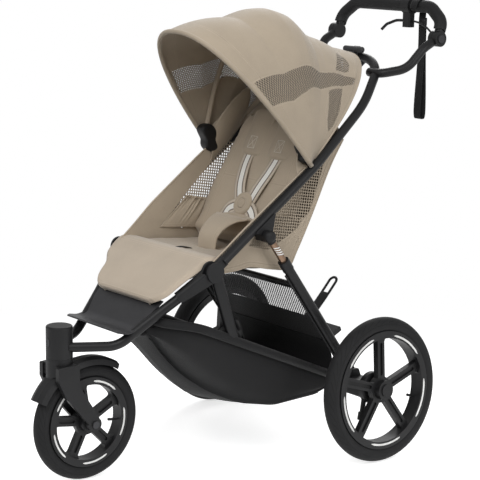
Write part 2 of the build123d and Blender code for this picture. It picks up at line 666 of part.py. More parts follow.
def canopy_socket():
    """Bracket that stands on the main tube and carries the canopy's hinge pin."""
    c = math.cos(math.radians(MAIN_SLOPE))
    s = math.sin(math.radians(MAIN_SLOPE))
    seat = (CANOPY_BACK - HUB_BACK) * c + (CANOPY_UP - HUB_UP) * s
    low = [on_main(0, seat - 26), on_main(0, seat + 26)]
    outline = [(low[0].Y - REAR_AXLE_Y, low[0].Z), (low[1].Y - REAR_AXLE_Y, low[1].Z),
               (CANOPY_BACK + 17, CANOPY_UP + 4), (CANOPY_BACK - 17, CANOPY_UP + 4)]
    body = side_plate(outline, SOCKET_IN, SOCKET_OUT, 4)
    body += disc(CANOPY_BACK, CANOPY_UP, 19, SOCKET_IN, SOCKET_OUT)
    body += disc(CANOPY_BACK, CANOPY_UP, BOW_PIN_R, SOCKET_OUT - 1, FRONT_BOW_X + 8)
    body -= arch(TUBE_R + SEAT_GAP)
    return body.solids().sort_by(SortBy.VOLUME)[-1]


# ---- canopy -----------------------------------------------------------------------
HOOP_FLANK = 0.47            # corners of a hoop, as shares of its reach and half width
HOOP_SIDE_BEND = 1.85        # bends of a hoop, as shares of its half width
HOOP_TOP_BEND = 0.72
HOOP_ROOM = 0.995            # most of the crown that its two bends may take


def hoop_points(half, reach, angle, root):
    """Corner points of a hoop in a plane through the hinge line."""
    left = [(half, root), (half, reach * HOOP_FLANK), (half * HOOP_FLANK, reach)]
    right = [(-x, r) for x, r in reversed(left)]
    return [from_hinge(x, angle, r) for x, r in left + right]


def hoop_bends(half, reach):
    """Bend radii of a hoop; the room along its crown limits the upper ones."""
    flank = math.atan2(half, reach)
    room = half * HOOP_FLANK / math.tan((math.pi / 2 - flank) / 2)
    left = [HOOP_SIDE_BEND * half, min(HOOP_TOP_BEND * half, HOOP_ROOM * room)]
    return left + left[::-1]


def hoop(half, reach, angle, radius, root=8.0):
    return tube(hoop_points(half, reach, angle, root), radius, hoop_bends(half, reach))


def bow(half, reach, angle, eye_thick):
    """A canopy bow with an eye at each foot."""
    body = hoop(half, reach, angle, BOW_R)
    eye = disc(CANOPY_BACK, CANOPY_UP, 11, half - eye_thick / 2, half + eye_thick / 2)
    body += eye + mirrored(eye)
    bore = disc(CANOPY_BACK, CANOPY_UP, BOW_PIN_R + RUN_FIT, half - 20, half + 20)
    return body - bore - mirrored(bore)


def hoop_face(half, reach, angle, root):
    """The flat area inside a hoop, from root outwards."""
    path = FilletPolyline(*hoop_points(half, reach, angle, root), radius=hoop_bends(half, reach))
    ends = Line(path @ 1, path @ 0)
    return make_face(path.edges() + ends.edges())


def canopy_shell(first, second, root):
    """Cloth between two hoops, each given as (half, reach, angle)."""
    outer = loft([hoop_face(h, r, a, root) for h, r, a in (first, second)], ruled=True)
    slack = 0.6
    inside = []
    for (h, r, a), turn in ((first, -slack), (second, slack)):
        inside.append(hoop_face(h - CANOPY_CLOTH, r - CANOPY_CLOTH, a + turn, root - 12))
    return outer - loft(inside, ruled=True)


def bow_sleeve(half, reach, angle):
    """Room for a bow inside the cloth."""
    return hoop(half, reach, angle, BOW_R + CANOPY_FIT, SLEEVE_ROOT)


def canopy_front_panel():
    first = (FRONT_BOW_X, FRONT_BOW_REACH, FRONT_BOW_ANGLE + 1.6)
    second = (MID_BOW_X + 6, MID_BOW_REACH + 6, MID_BOW_ANGLE - 1.4)
    body = canopy_shell(first, second, CLOTH_ROOT)
    body -= bow_sleeve(FRONT_BOW_X, FRONT_BOW_REACH, FRONT_BOW_ANGLE)
    body -= bow_sleeve(MID_BOW_X, MID_BOW_REACH, MID_BOW_ANGLE)
    return body.solids().sort_by(SortBy.VOLUME)[-1]


def reach_over(first, over, angle):
    """Reach at an angle of the straight line from one (reach, angle) over another."""
    a, b, c = math.radians(first[1]), math.radians(over[1]), math.radians(angle)
    return math.sin(b - a) / (math.sin(c - a) / over[0] - math.sin(c - b) / first[0])


def canopy_rear_panel():
    first = (MID_BOW_X + 6, MID_BOW_REACH + 6, MID_BOW_ANGLE + 1.4)
    reach = reach_over(first[1:], (REAR_BOW_REACH + REAR_CLOTH_RISE, REAR_BOW_ANGLE), REAR_HEM_ANGLE)
    second = (REAR_HEM_HALF, reach, REAR_HEM_ANGLE)
    body = canopy_shell(first, second, CLOTH_ROOT)
    body -= bow_sleeve(MID_BOW_X, MID_BOW_REACH, MID_BOW_ANGLE)
    return body.solids().sort_by(SortBy.VOLUME)[-1]


def rear_bow():
    """Fixed rear bow, its feet pinned to the inside of the sockets."""
    half = SOCKET_IN - 6.3
    return bow(half, REAR_BOW_REACH, REAR_BOW_ANGLE, 11.4)


# ---- seat and cloth ---------------------------------------------------------------
SEAT_THICK = 20.0
SEAT_ROLL_R = 21.0           # rolled front edge of the seat, round the fold line
SEAT_REAR = -176.0
LEG_REST_LOW = (-522.0, 421.0)
LEG_REST_LOW_HALF = 121.0
LEG_REST_THICK = 12.0
LEG_REST_GAP = 0.6
FOOT_ROLL_R = 11.0           # rolled foot of the backrest, round the recline line
BACK_TOP_HALF = 126.0
ROLL_HALF = 152.0            # half length of the roll, between the fold hubs
CROTCH_BACK = -282.0
CROTCH_HALF = 20.0


SEAT_REAR_UP = RECLINE_UP - FOOT_ROLL_R - 3.0


def seat_plate(grow=0.0):
    top = HUB_UP + SEAT_ROLL_R
    outline = [(HUB_BACK, top + grow), (SEAT_REAR, SEAT_REAR_UP + grow),
               (SEAT_REAR, SEAT_REAR_UP - SEAT_THICK), (HUB_BACK, top - SEAT_THICK)]
    return side_plate(outline, -SEAT_HALF, SEAT_HALF)


def seat_pad():
    """Seat cushion with a rolled front edge and the slot of the crotch strap."""
    plate = seat_plate()
    plate = fillet(plate.edges().filter_by(Axis.X).group_by(Axis.Y)[-1], 4)
    clear = Pos(at(0, HUB_BACK, HUB_UP)) * Box(4 * SEAT_HALF, 80, 80)
    clear -= Pos(at(0, HUB_BACK, HUB_UP)) * Box(2 * ROLL_HALF, 90, 90)
    body = plate - clear + disc(HUB_BACK, HUB_UP, SEAT_ROLL_R, -ROLL_HALF, ROLL_HALF)
    g = SEAT_GAP
    slot = side_plate([(CROTCH_BACK - 10 - g, HUB_UP - 40), (CROTCH_BACK - 10 - g, HUB_UP + 60),
                       (CROTCH_BACK + 12 + g, HUB_UP + 60), (CROTCH_BACK + 12 + g, HUB_UP - 40)],
                      -CROTCH_HALF - g, CROTCH_HALF + g)
    return body - slot


def leg_rest_body(grow=0.0):
    """The flap before it is cut to the seat's roll."""
    low_back, low_up = LEG_REST_LOW
    run = math.hypot(HUB_BACK - low_back, HUB_UP + SEAT_ROLL_R - low_up)
    angle = math.atan2(HUB_UP + SEAT_ROLL_R - low_up, HUB_BACK - low_back)
    wide, narrow = ROLL_HALF + grow, LEG_REST_LOW_HALF + grow
    face = make_face(Polyline((-grow, -narrow), (run * 0.75, -wide), (run, -wide), (run, wide),
                              (run * 0.75, wide), (-grow, narrow), close=True))
    face = fillet(face.vertices().group_by(Axis.X)[0], 26)
    face = fillet(face.vertices().group_by(lambda v: round(abs(v.X - run * 0.75)))[0], 60)
    plane = Plane(origin=at(0, low_back, low_up), x_dir=(0, math.cos(angle), math.sin(angle)),
                  z_dir=(0, -math.sin(angle), math.cos(angle)))
    return extrude(plane * face, -LEG_REST_THICK - grow)


def leg_rest():
    """Padded flap from the roll at the seat's front edge down over the footrest."""
    roll = disc(HUB_BACK, HUB_UP, SEAT_ROLL_R + LEG_REST_GAP, -ROLL_HALF - 1, ROLL_HALF + 1)
    folded = seat_plate(LEG_REST_GAP).rotate(Axis(at(0, HUB_BACK, HUB_UP), (1, 0, 0)), FOLD_LIMIT)
    body = leg_rest_body() - roll - folded
    return body.solids().sort_by(SortBy.VOLUME)[-1]


def side_panel():
    """Cloth wall between the main tube, the seat and the back."""
    hem = [on_main(0, 48), on_main(0, 330), on_main(0, 400, -TUBE_R - 2.5),
           on_main(0, 500, -TUBE_R - 3)]
    outline = [(p.Y - REAR_AXLE_Y, p.Z) for p in hem]
    outline += [(16, 766), (-138, 500), (-160, SEAT_REAR_UP - SEAT_THICK),
                (HUB_BACK + 40, HUB_UP - 9)]
    return side_plate(outline, PANEL_OUT - PANEL_CLOTH, PANEL_OUT, 2)


def back_plane():
    """Front face of the backrest: local X across, local Y up it, local Z forwards."""
    a = math.radians(BACK_ANGLE)
    out = Vector(0, -math.sin(a), math.cos(a))
    origin = at(0, RECLINE_BACK, RECLINE_UP) + out * BACK_THICK
    return Plane(origin=origin, x_dir=(1, 0, 0), z_dir=out)


def backrest():
    roll = disc(RECLINE_BACK, RECLINE_UP, FOOT_ROLL_R, -SEAT_HALF, SEAT_HALF)
    half = SEAT_HALF
    face = make_face(Polyline((-half, 0), (half, 0), (half, 120), (BACK_TOP_HALF, BACK_LENGTH),
                              (-BACK_TOP_HALF, BACK_LENGTH), (-half, 120), close=True))
    face = fillet(face.vertices().sort_by(Axis.Y)[-2:], 30)
    return roll + extrude(back_plane() * face, -BACK_THICK)


def back_cover():
    """Cloth over the back of the seat, which reclines with the backrest."""
    points = [(-172, 499), (-140, 506), (8, 764), (-42, 780)]
    path = FilletPolyline(*[(REAR_AXLE_Y + b, u) for b, u in points], radius=[20, 12])
    strip = extrude(Plane.YZ * make_hull_strip(path, PANEL_CLOTH), SEAT_HALF, both=True)
    low, high = SEAT_HALF - 2, BACK_TOP_HALF + 8
    half = [(low, 470), (low, 540), (high, 800)]
    front = Polyline(*half, *[(-x, z) for x, z in reversed(half)], close=True)
    return strip & extrude(Plane.XZ * make_face(front), 600, both=True)


BUCKLE_R = 26.0
BUCKLE_UP = 88.0             # along the backrest
BUCKLE_OFF = 5.0             # clear of the backrest
BUCKLE_THICK = 14.0
BUTTON_R = 12.0
BUTTON_TRAVEL = 2.0
WEBBING = 2.5
WEBBING_WIDTH = 22.0
SHOULDER_X = 50.0


def chest_pads():
    pad = Box(50, 96, 8, align=(Align.CENTER, Align.CENTER, Align.MIN))
    pad = fillet(pad.edges().filter_by(Axis.Z), 8)
    one = back_plane() * (Pos(SHOULDER_X, BACK_LENGTH - 56, WEBBING + 2 * SEAT_GAP) * pad)
    return pair(one)


def harness_straps():
    """Shoulder webbing from the back to the buckle, and the two lap straps."""
    w = WEBBING_WIDTH / 2
    top, turn = BACK_LENGTH - 12, BACK_LENGTH - 104
    shoulder = Polyline((SHOULDER_X - w, top), (SHOULDER_X + w, top), (SHOULDER_X + w, turn),
                        (26 + w, 104), (26 - w, 112), (SHOULDER_X - w, turn), close=True)
    lap = Polyline((BUCKLE_R + 3, 84), (BUCKLE_R + 3, 66), (120, 34), (120, 54), close=True)
    strips = []
    for outline in (shoulder, lap):
        strip = extrude(Pos(0, 0, SEAT_GAP) * make_face(outline), WEBBING)
        if outline is shoulder:
            strip -= Pos(0, BUCKLE_UP, 0) * Cylinder(BUCKLE_R + SEAT_GAP, 20)
        strips += [back_plane() * strip, mirrored(back_plane() * strip)]
    return Compound(children=strips)


def buckle_plane():
    return back_plane() * Pos(0, BUCKLE_UP, BUCKLE_OFF)


def buckle_shell():
    """Round harness buckle with a well for its release button."""
    low = (Align.CENTER, Align.CENTER, Align.MIN)
    body = Cylinder(BUCKLE_R, BUCKLE_THICK, align=low)
    body = chamfer(body.edges().group_by(Axis.Z)[-1], 3)
    post = Pos(0, 0, -BUCKLE_OFF + SEAT_GAP) * Cylinder(9, BUCKLE_OFF + 1, align=low)
    well = Pos(0, 0, BUCKLE_THICK - 6) * Cylinder(BUTTON_R + SLIDE_FIT, 12, align=low)
    return buckle_plane() * (body + post - well)


def buckle_button():
    low = (Align.CENTER, Align.CENTER, Align.MIN)
    body = Pos(0, 0, BUCKLE_THICK - 6 + BUTTON_TRAVEL + 1) * Cylinder(BUTTON_R, 5, align=low)
    return buckle_plane() * body


def crotch_strap():
    """Padded strap that rises from the seat to the buckle."""
    slope = (HUB_UP + SEAT_ROLL_R - SEAT_REAR_UP) / (SEAT_REAR - HUB_BACK)
    foot = HUB_UP + SEAT_ROLL_R - slope * (CROTCH_BACK - HUB_BACK) + SEAT_GAP
    outline = [(CROTCH_BACK - 10, foot - SEAT_THICK), (CROTCH_BACK - 10, foot + 10), (-216, 566),
               (-211, 561), (CROTCH_BACK + 12, foot + 12), (CROTCH_BACK + 12, foot - SEAT_THICK)]
    return side_plate(outline, -CROTCH_HALF, CROTCH_HALF, 1.0)


BASKET_HALF = RAIL_X - RAIL_R - SEAT_GAP
BASKET_WALL = 2.5
BASKET_REAR = -18.0
BASKET_REAR_UP = 234.0
BASKET_FLOOR = 128.0
# back, half width at the rim, drop of the rim under the rail's lip, half width at the
# seam, height of the seam, height of the keel
BASKET_RIBS = [
    (-66.0, BASKET_HALF, 0.0, 148.0, 133.0, BASKET_FLOOR),
    (-200.0, BASKET_HALF, 0.0, 150.0, 131.0, BASKET_FLOOR),
    (-250.0, BASKET_HALF, 0.0, 145.0, 138.0, BASKET_FLOOR),
    (-290.0, BASKET_HALF, 0.0, 132.0, 148.0, 129.0),
    (-320.0, BASKET_HALF, 0.0, 112.0, 160.0, 137.0),
    (-350.0, BASKET_HALF, 0.0, 90.0, 176.0, 153.0),
    (-380.0, BASKET_HALF, 0.0, 71.0, 195.0, 176.0),
    (-405.0, BASKET_HALF, 0.0, 58.0, 218.0, 203.0),
    (-430.0, BASKET_HALF, 0.0, 53.0, 245.0, 232.0),
    (-455.0, 154.0, 16.0, 51.0, 271.0, 259.0),
    (-482.0, 134.0, 22.0, 62.0, 300.0, 289.0),
    (-504.0, 100.0, 36.0, 74.0, 323.0, 313.0),
    (-524.0, 84.0, 48.0, 78.0, 336.0, 330.0),
]


def basket_ribs():
    """Cross sections of the basket, from its rear edge to its nose."""
    ribs = [
        (BASKET_REAR, BASKET_HALF, BASKET_REAR_UP, 150.0, 152.0, 146.0),
        (BASKET_REAR - 12, BASKET_HALF, BASKET_REAR_UP, 149.0, 142.0, 138.0),
        (BASKET_REAR - 27, BASKET_HALF, BASKET_REAR_UP - 8, 148.0, 134.0, BASKET_FLOOR),
    ]
    for back, rim, drop, seam, low, keel in BASKET_RIBS:
        ribs.append((back, rim, rail_point(0, back).Z + BASKET_LIP - drop, seam, low, keel))
    return ribs


def basket_body(wall, rise):
    """Hull through the ribs, narrowed by a wall and carried up past the rim."""
    faces = []
    ribs = basket_ribs()
    for rib in ribs:
        back, rim, top, seam, low, keel = rib
        shift = wall if rib is ribs[-1] else -wall if rib is ribs[0] else 0
        low = low + wall
        keel = keel + wall
        belly = (low + 2 * keel) / 3
        side = [(rim - wall, top + rise), (rim - wall, top), (seam - wall, low)]
        half = side + [(seam / 2, belly), (0, keel)]
        outline = half + [(-x, z) for x, z in reversed(half[:-1])]
        spots = [at(x, back + shift, z) for x, z in outline]
        faces.append(make_face(Polyline(*spots, close=True)))
    return loft(faces, ruled=True)


def basket():
    """Sling basket under the seat: side walls that run in to a narrow keel at the nose."""
    return basket_body(0.0, 0.2) - basket_body(BASKET_WALL, 20.0)


REAR_PANEL_LOW = 72.0        # lower edge, along the leg


def basket_rear_panel():
    """Mesh panel that hangs from the crossbar in the plane of the rear legs."""
    plane = Plane(origin=LEG_FOOT, x_dir=(1, 0, 0), z_dir=(0, LEG_ALONG.Z, -LEG_ALONG.Y))
    length = CROSSBAR_AT - CROSSBAR_R - SEAT_GAP - REAR_PANEL_LOW
    mid = REAR_PANEL_LOW + length / 2
    sheet = Box(2 * (LEG_X - SLEEVE_R - SEAT_GAP), length, 2)
    sign = 1 if (plane * Pos(0, 1, 0)).position.Z > LEG_FOOT.Z else -1
    return plane * (Pos(0, sign * mid, 0) * sheet)


def basket_pull_loop():
    """Stiff pull strap on the basket's rear edge, with a finger slot."""
    points = [(-16, BASKET_REAR_UP + SEAT_GAP), (0, 284), (50, 324), (126, 372)]
    path = FilletPolyline(*[(REAR_AXLE_Y + b, u) for b, u in points], radius=[40, 60])
    body = extrude(Plane.YZ * make_hull_strip(path, 4), 15, both=True)
    slot_plane = Plane(origin=at(0, 102, 357), x_dir=(0, 0.845, 0.534), z_dir=(0, -0.534, 0.845))
    slot = extrude(slot_plane * RectangleRounded(34, 16, 5), 20, both=True)
    base = Pos(at(0, 0, BASKET_REAR_UP + SEAT_GAP)) * Box(
        60, 100, 20, align=(Align.CENTER, Align.CENTER, Align.MAX))
    return body - slot - base


# ---- brake pedal ------------------------------------------------------------------
PEDAL_BACK = 26.0
PEDAL_PIN_R = 4.0


def pedal_bracket():
    """Clamp on the axle tube with two ears for the pedal."""
    up = AXLE_UP
    outline = [(-15, up - 15), (15, up - 15), (PEDAL_BACK + 9, up - 4), (PEDAL_BACK + 9, up + 24),
               (PEDAL_BACK - 9, up + 24), (0, up + 16), (-15, up + 15)]
    body = side_plate(outline, -28, 28, 3)
    body -= Pos(at(0, PEDAL_BACK + 12, up + 20)) * Box(36 + 2 * SLIDE_FIT, 44, 80)
    body -= axle_tube(SEAT_GAP)
    return body + disc(PEDAL_BACK, up + 15, PEDAL_PIN_R, -27, 27)


def brake_pedal():
    up = AXLE_UP + 15
    arm = side_plate([(PEDAL_BACK - 6, up - 4), (PEDAL_BACK + 2, up - 8), (106, up + 47),
                      (122, up + 50), (118, up + 60), (102, up + 58)], -14, 14, 2)
    hub = disc(PEDAL_BACK, up, 9.5, -18, 18)
    pad = side_plate([(88, up + 44), (124, up + 62), (119, up + 74), (83, up + 56)], -32, 32, 3)
    return arm + hub + pad - disc(PEDAL_BACK, up, PEDAL_PIN_R + RUN_FIT, -40, 40)


# ---- handlebar --------------------------------------------------------------------
LOOP = [(FRAME_HALF, HANDLE_BACK - 7.0, HANDLE_UP - SHOULDER_DROP, 34.0),
        (132.0, HANDLE_BACK, HANDLE_UP, 44.0)]


def loop_points():
    start = at(FRAME_HALF, TILT_BACK + 3, TILT_UP + 4)
    left = [start] + [at(x, b, u) for x, b, u, _ in LOOP]
    right = [Vector(-p.X, p.Y, p.Z) for p in reversed(left)]
    return left + right


def loop_bar(radius, bore=0.0):
    bends = [b[3] for b in LOOP]
    return tube(loop_points(), radius, bends + bends[::-1], bore)


def handle_loop():
    """The handle bar with half a tilt joint at each end."""
    bar = loop_bar(TUBE_R)
    cheek = disc(TILT_BACK, TILT_UP, PIVOT_DISC_R + SLIDE_FIT, ARM_DISC_IN - 4, PIVOT_SPLIT + SLIDE_FIT)
    cup = disc(TILT_BACK, TILT_UP, PIVOT_DISC_R, PIVOT_SPLIT + SLIDE_FIT, TILT_DISC_OUT)
    bore = disc(TILT_BACK, TILT_UP, TILT_PIN_R + RUN_FIT, PIVOT_SPLIT - 4, TILT_DISC_OUT - 5)
    well = tilt_button(SLIDE_FIT, 2)
    body = bar - cheek - mirrored(cheek)
    for piece in (cup, mirrored(cup)):
        body += piece
    for piece in (bore, mirrored(bore), well, mirrored(well)):
        body -= piece
    return body.solids().sort_by(SortBy.VOLUME)[-1]


def tilt_button(grow=0.0, deeper=0.0):
    """Round release button in the outside of the tilt joint."""
    inner = TILT_DISC_OUT - 1 - deeper - (TILT_TRAVEL if deeper else 0)
    return disc(TILT_BACK, TILT_UP, 10 + grow, inner, TILT_DISC_OUT + 3)


def handle_grip():
    """Foam sleeve over the bar between the tilt joints."""
    sleeve = loop_bar(GRIP_R, TUBE_R + RUN_FIT)
    end = disc(TILT_BACK, TILT_UP, PIVOT_DISC_R + 6, 150, 200)
    sleeve = sleeve - end - mirrored(end)
    return sleeve.solids().sort_by(SortBy.VOLUME)[-1]


LEVER_X = 58.0
CLAMP_WIDTH = 26.0


def lever_clamp():
    """Brake lever bracket clamped round the grip."""
    half = CLAMP_WIDTH / 2
    a, b = at(LEVER_X - half, HANDLE_BACK, HANDLE_UP), at(LEVER_X + half, HANDLE_BACK, HANDLE_UP)
    body = pin(a, b, GRIP_R + 5)
    stem = Pos(at(LEVER_X, HANDLE_BACK - 2, (LEVER_UP + HANDLE_UP) / 2 - 12)) * Box(CLAMP_WIDTH, 20, 46)
    body += fillet(stem.edges().filter_by(Axis.Z), 4)
    slot = Pos(at(LEVER_X - 12, HANDLE_BACK - 2, LEVER_UP - 2)) * Box(40, 10.4, 22)
    body -= slot
    body -= pin(a - Vector(5, 0, 0), b + Vector(5, 0, 0), GRIP_R + RUN_FIT)
    bolt = pin(at(LEVER_X, HANDLE_BACK - 11, LEVER_UP), at(LEVER_X, HANDLE_BACK + 7, LEVER_UP), 3)
    return body + bolt


def brake_lever():
    """Hand lever that pivots on the bracket's pin."""
    y = HANDLE_BACK - 2
    points = [at(LEVER_X, y, LEVER_UP), at(20, y - 4, LEVER_UP - 1), at(-8, y - 10, LEVER_UP - 12),
              at(-22, y - 14, LEVER_UP - 26)]
    body = tube(points, 3.6, [40, 14])
    eye = pin(at(LEVER_X, y - 4, LEVER_UP), at(LEVER_X, y + 4, LEVER_UP), 7)
    return body + eye - pin(at(LEVER_X, y - 20, LEVER_UP), at(LEVER_X, y + 20, LEVER_UP), 3 + RUN_FIT)


def brake_cable():
    """Short outer cable from the lever bracket to the handle tube."""
    y = HANDLE_BACK - 2
    points = [at(LEVER_X + CLAMP_WIDTH / 2 + SEAT_GAP, y, LEVER_UP), at(96, y - 2, LEVER_UP - 3),
              at(130, y - 10, LEVER_UP - 12), at(FRAME_HALF - TUBE_R - 4, y - 20, LEVER_UP - 27)]
    return tube(points, 2.5, [55, 60])


STRAP_X = 92.0
STRAP_DROP = 282.0


def wrist_strap():
    """Webbing loop round the grip that hangs down."""
    ring = pin(at(STRAP_X - 12, HANDLE_BACK, HANDLE_UP), at(STRAP_X + 12, HANDLE_BACK, HANDLE_UP),
               GRIP_R + 3)
    tail = Pos(at(STRAP_X, HANDLE_BACK + GRIP_R - 3, HANDLE_UP)) * Box(
        24, 6, STRAP_DROP, align=(Align.CENTER, Align.CENTER, Align.MAX))
    body = ring + tail
    return body - pin(at(STRAP_X - 14, HANDLE_BACK, HANDLE_UP), at(STRAP_X + 14, HANDLE_BACK, HANDLE_UP),
                      GRIP_R + SEAT_GAP)


FOLD_TRAVEL = 8.0
CATCH_HALF = 35.0
CATCH_RISE = 24.0            # grip above the crown of the arch


def fold_catch():
    """T-grip that slides up on the crown of the arch to free the fold."""
    crown = on_main(0, ARCH_TOP, ARCH_LIFT)
    up = on_main(0, 0, 1) - on_main(0, 0, 0)
    plane = Plane(origin=crown, x_dir=(1, 0, 0), z_dir=up)
    low = -TUBE_R - FOLD_TRAVEL - 5
    stem = Pos(0, 0, low) * Box(18, 2 * TUBE_R + 9, CATCH_RISE - low,
                                align=(Align.CENTER, Align.CENTER, Align.MIN))
    stem = fillet(stem.edges().filter_by(Axis.X), 4)
    eye = extrude(Plane.YZ * Pos(0, -FOLD_TRAVEL / 2) * SlotOverall(
        2 * (TUBE_R + SLIDE_FIT) + FOLD_TRAVEL, 2 * (TUBE_R + SLIDE_FIT), rotation=90), 40, both=True)
    grip = Pos(0, 0, CATCH_RISE) * Rot(0, 90, 0) * Cylinder(7.5, 2 * CATCH_HALF)
    grip = fillet(grip.edges(), 6)
    return plane * (stem - eye + grip)


# ---- cables on the legs -------------------------------------------------------------
def leg_cable():
    """Brake cable clipped along the front of the rear leg."""
    side = Vector(0, -LEG_ALONG.Z, LEG_ALONG.Y) * (SLEEVE_R + 3.2)
    a, b = on_leg(LEG_X, 60) + side, on_leg(LEG_X, SLEEVE_LENGTH - 30) + side
    return pin(a, b, 2.5)


def build():
    front_wheel()
    rear_wheels()
    write("front_axle", front_axle())
    write("front_fork", front_fork())
    write("front_fender", front_fender())
    write("head_housing", head_housing())
    write("lock_button", lock_button())
    both = {
        "front_tube": front_tube(), "fold_hub": fold_hub(),
        "axle_knuckle": axle_knuckle(), "side_panel": side_panel(),
        "handle_arm": handle_arm(), "tilt_button": tilt_button(),
    }
    for name, solid in both.items():
        write("left_" + name, solid)
        write("right_" + name, mirrored(solid))
    write("basket_rail", basket_rail())
    write("axle_tube", axle_tube())
    write("rear_leg_frame", rear_leg_frame())
    write("leg_cables", pair(leg_cable()))
    write("leg_inner_tubes", pair(leg_inner()))
    write("leg_brackets", pair(leg_bracket()))
    write("struts", pair(strut()))
    write("brake_drums", pair(brake_drum()))
    write("canopy_sockets", pair(canopy_socket()))
    write("footrest", footrest())
    write("leg_rest", leg_rest())
    write("main_tube", main_tube())
    write("fold_catch", fold_catch())
    write("front_bow", bow(FRONT_BOW_X, FRONT_BOW_REACH, FRONT_BOW_ANGLE, 7))
    write("mid_bow", bow(MID_BOW_X, MID_BOW_REACH, MID_BOW_ANGLE, 7))
    write("rear_bow", rear_bow())
    write("canopy_front_panel", canopy_front_panel())
    write("canopy_rear_panel", canopy_rear_panel())
    write("seat_pad", seat_pad())
    write("crotch_strap", crotch_strap())
    write("backrest", backrest())
    write("back_cover", back_cover())
    write("chest_pads", chest_pads())
    write("harness_straps", harness_straps())
    write("buckle_shell", buckle_shell())
    write("buckle_button", buckle_button())
    write("basket", basket())
    write("basket_rear_panel", basket_rear_panel())
    write("basket_pull_loop", basket_pull_loop())
    write("pedal_bracket", pedal_bracket())
    write("brake_pedal", brake_pedal())
    write("handle_loop", handle_loop())
    write("handle_grip", handle_grip())
    write("lever_clamp", lever_clamp())
    write("brake_lever", brake_lever())
    write("brake_cable", brake_cable())
    write("wrist_strap", wrist_strap())


build()
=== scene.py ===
"""Looks of the three-wheeled stroller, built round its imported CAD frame."""

import json
from math import atan2, copysign, cos, degrees, hypot, pi, radians, sin, sqrt, tan, tau

import bmesh
import bpy
from mathutils import Matrix, Vector

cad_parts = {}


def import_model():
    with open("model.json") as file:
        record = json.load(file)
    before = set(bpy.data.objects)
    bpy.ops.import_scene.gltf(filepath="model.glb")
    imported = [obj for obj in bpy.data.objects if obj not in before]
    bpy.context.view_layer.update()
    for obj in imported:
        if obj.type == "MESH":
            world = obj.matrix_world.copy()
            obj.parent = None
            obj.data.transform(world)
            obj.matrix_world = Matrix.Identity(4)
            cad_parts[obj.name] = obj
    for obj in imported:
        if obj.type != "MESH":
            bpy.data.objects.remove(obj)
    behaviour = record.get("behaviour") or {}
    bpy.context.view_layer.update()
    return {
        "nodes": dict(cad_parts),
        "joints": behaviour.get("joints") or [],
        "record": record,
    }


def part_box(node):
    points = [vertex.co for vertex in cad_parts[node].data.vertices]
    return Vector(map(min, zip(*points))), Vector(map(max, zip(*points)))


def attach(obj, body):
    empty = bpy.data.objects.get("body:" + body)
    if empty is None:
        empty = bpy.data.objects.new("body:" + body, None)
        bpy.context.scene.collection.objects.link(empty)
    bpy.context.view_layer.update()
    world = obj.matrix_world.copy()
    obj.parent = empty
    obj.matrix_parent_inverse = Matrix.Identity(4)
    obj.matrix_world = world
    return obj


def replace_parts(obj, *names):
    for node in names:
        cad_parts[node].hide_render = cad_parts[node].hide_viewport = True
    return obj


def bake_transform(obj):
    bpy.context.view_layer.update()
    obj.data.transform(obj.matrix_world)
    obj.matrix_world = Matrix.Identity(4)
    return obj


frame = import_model()

MM = 0.001
JOINTS = {j["name"]: j for j in frame["joints"]}
HINGE = Vector(JOINTS["canopy_fold"]["pos_m"])
RECLINE = Vector(JOINTS["backrest_recline"]["pos_m"])
AXLE = (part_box("axle_tube")[0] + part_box("axle_tube")[1]) / 2
SIDES = ((1, "left"), (-1, "right"))
ACROSS = Vector((1, 0, 0))


# ---- small helpers ------------------------------------------------------------------
def at(x, back, up):
    """A point in metres from millimetres: across, behind the rear axle, up."""
    return Vector((x * MM, AXLE.y + back * MM, up * MM))


def side_line(*pairs):
    """Points of the middle plane from (back, up) in millimetres."""
    return [at(0, back, up) for back, up in pairs]


def moved(p, x):
    """A point moved to x millimetres across."""
    return Vector((x * MM, p.y, p.z))


def new_object(name, data):
    obj = bpy.data.objects.new(name, data)
    bpy.context.scene.collection.objects.link(obj)
    return obj


def shade_smooth(mesh):
    mesh.polygons.foreach_set("use_smooth", [True] * len(mesh.polygons))


def mesh_object(name, verts, faces, smooth=True):
    mesh = bpy.data.meshes.new(name)
    mesh.from_pydata([tuple(v) for v in verts], [], faces)
    mesh.validate()
    mesh.update()
    if smooth:
        shade_smooth(mesh)
    return new_object(name, mesh)


def in_metres(flats):
    return [(u * MM, v * MM) for u, v in flats]


def flat_map(obj, uv):
    """Store each vertex's place on the unrolled cloth, in metres."""
    layer = obj.data.uv_layers.new(name="flat")
    for loop in obj.data.loops:
        layer.data[loop.index].uv = uv[loop.vertex_index]


def grid_object(name, rows, closed=False, uv=None):
    """A surface through rows of points; closed joins each row's ends."""
    count = len(rows[0])
    faces = []
    for i in range(len(rows) - 1):
        for j in range(count - (0 if closed else 1)):
            k = (j + 1) % count
            faces.append((i * count + j, i * count + k, (i + 1) * count + k, (i + 1) * count + j))
    obj = mesh_object(name, [p for row in rows for p in row], faces)
    if uv:
        flat_map(obj, uv)
    return obj


def modifier(obj, kind, **values):
    mod = obj.modifiers.new(kind.title(), kind)
    for key, value in values.items():
        setattr(mod, key, value)


def thicken(obj, thick, offset=0.0):
    modifier(obj, "SOLIDIFY", thickness=thick * MM, offset=offset)


def refine(obj):
    modifier(obj, "SUBSURF", levels=1, render_levels=1)


def apply_modifiers(obj):
    deps = bpy.context.evaluated_depsgraph_get()
    mesh = bpy.data.meshes.new_from_object(obj.evaluated_get(deps))
    obj.modifiers.clear()
    obj.data = mesh


def paint(obj, mat):
    obj.data.materials.clear()
    obj.data.materials.append(mat)


def dress(obj, body, slot=None, mat=None):
    """Give a piece its material, or its slot's material, and the body it rides on, if it rides on one."""
    paint(obj, mat or MATS[slot])
    if body:
        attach(obj, body)
    return obj


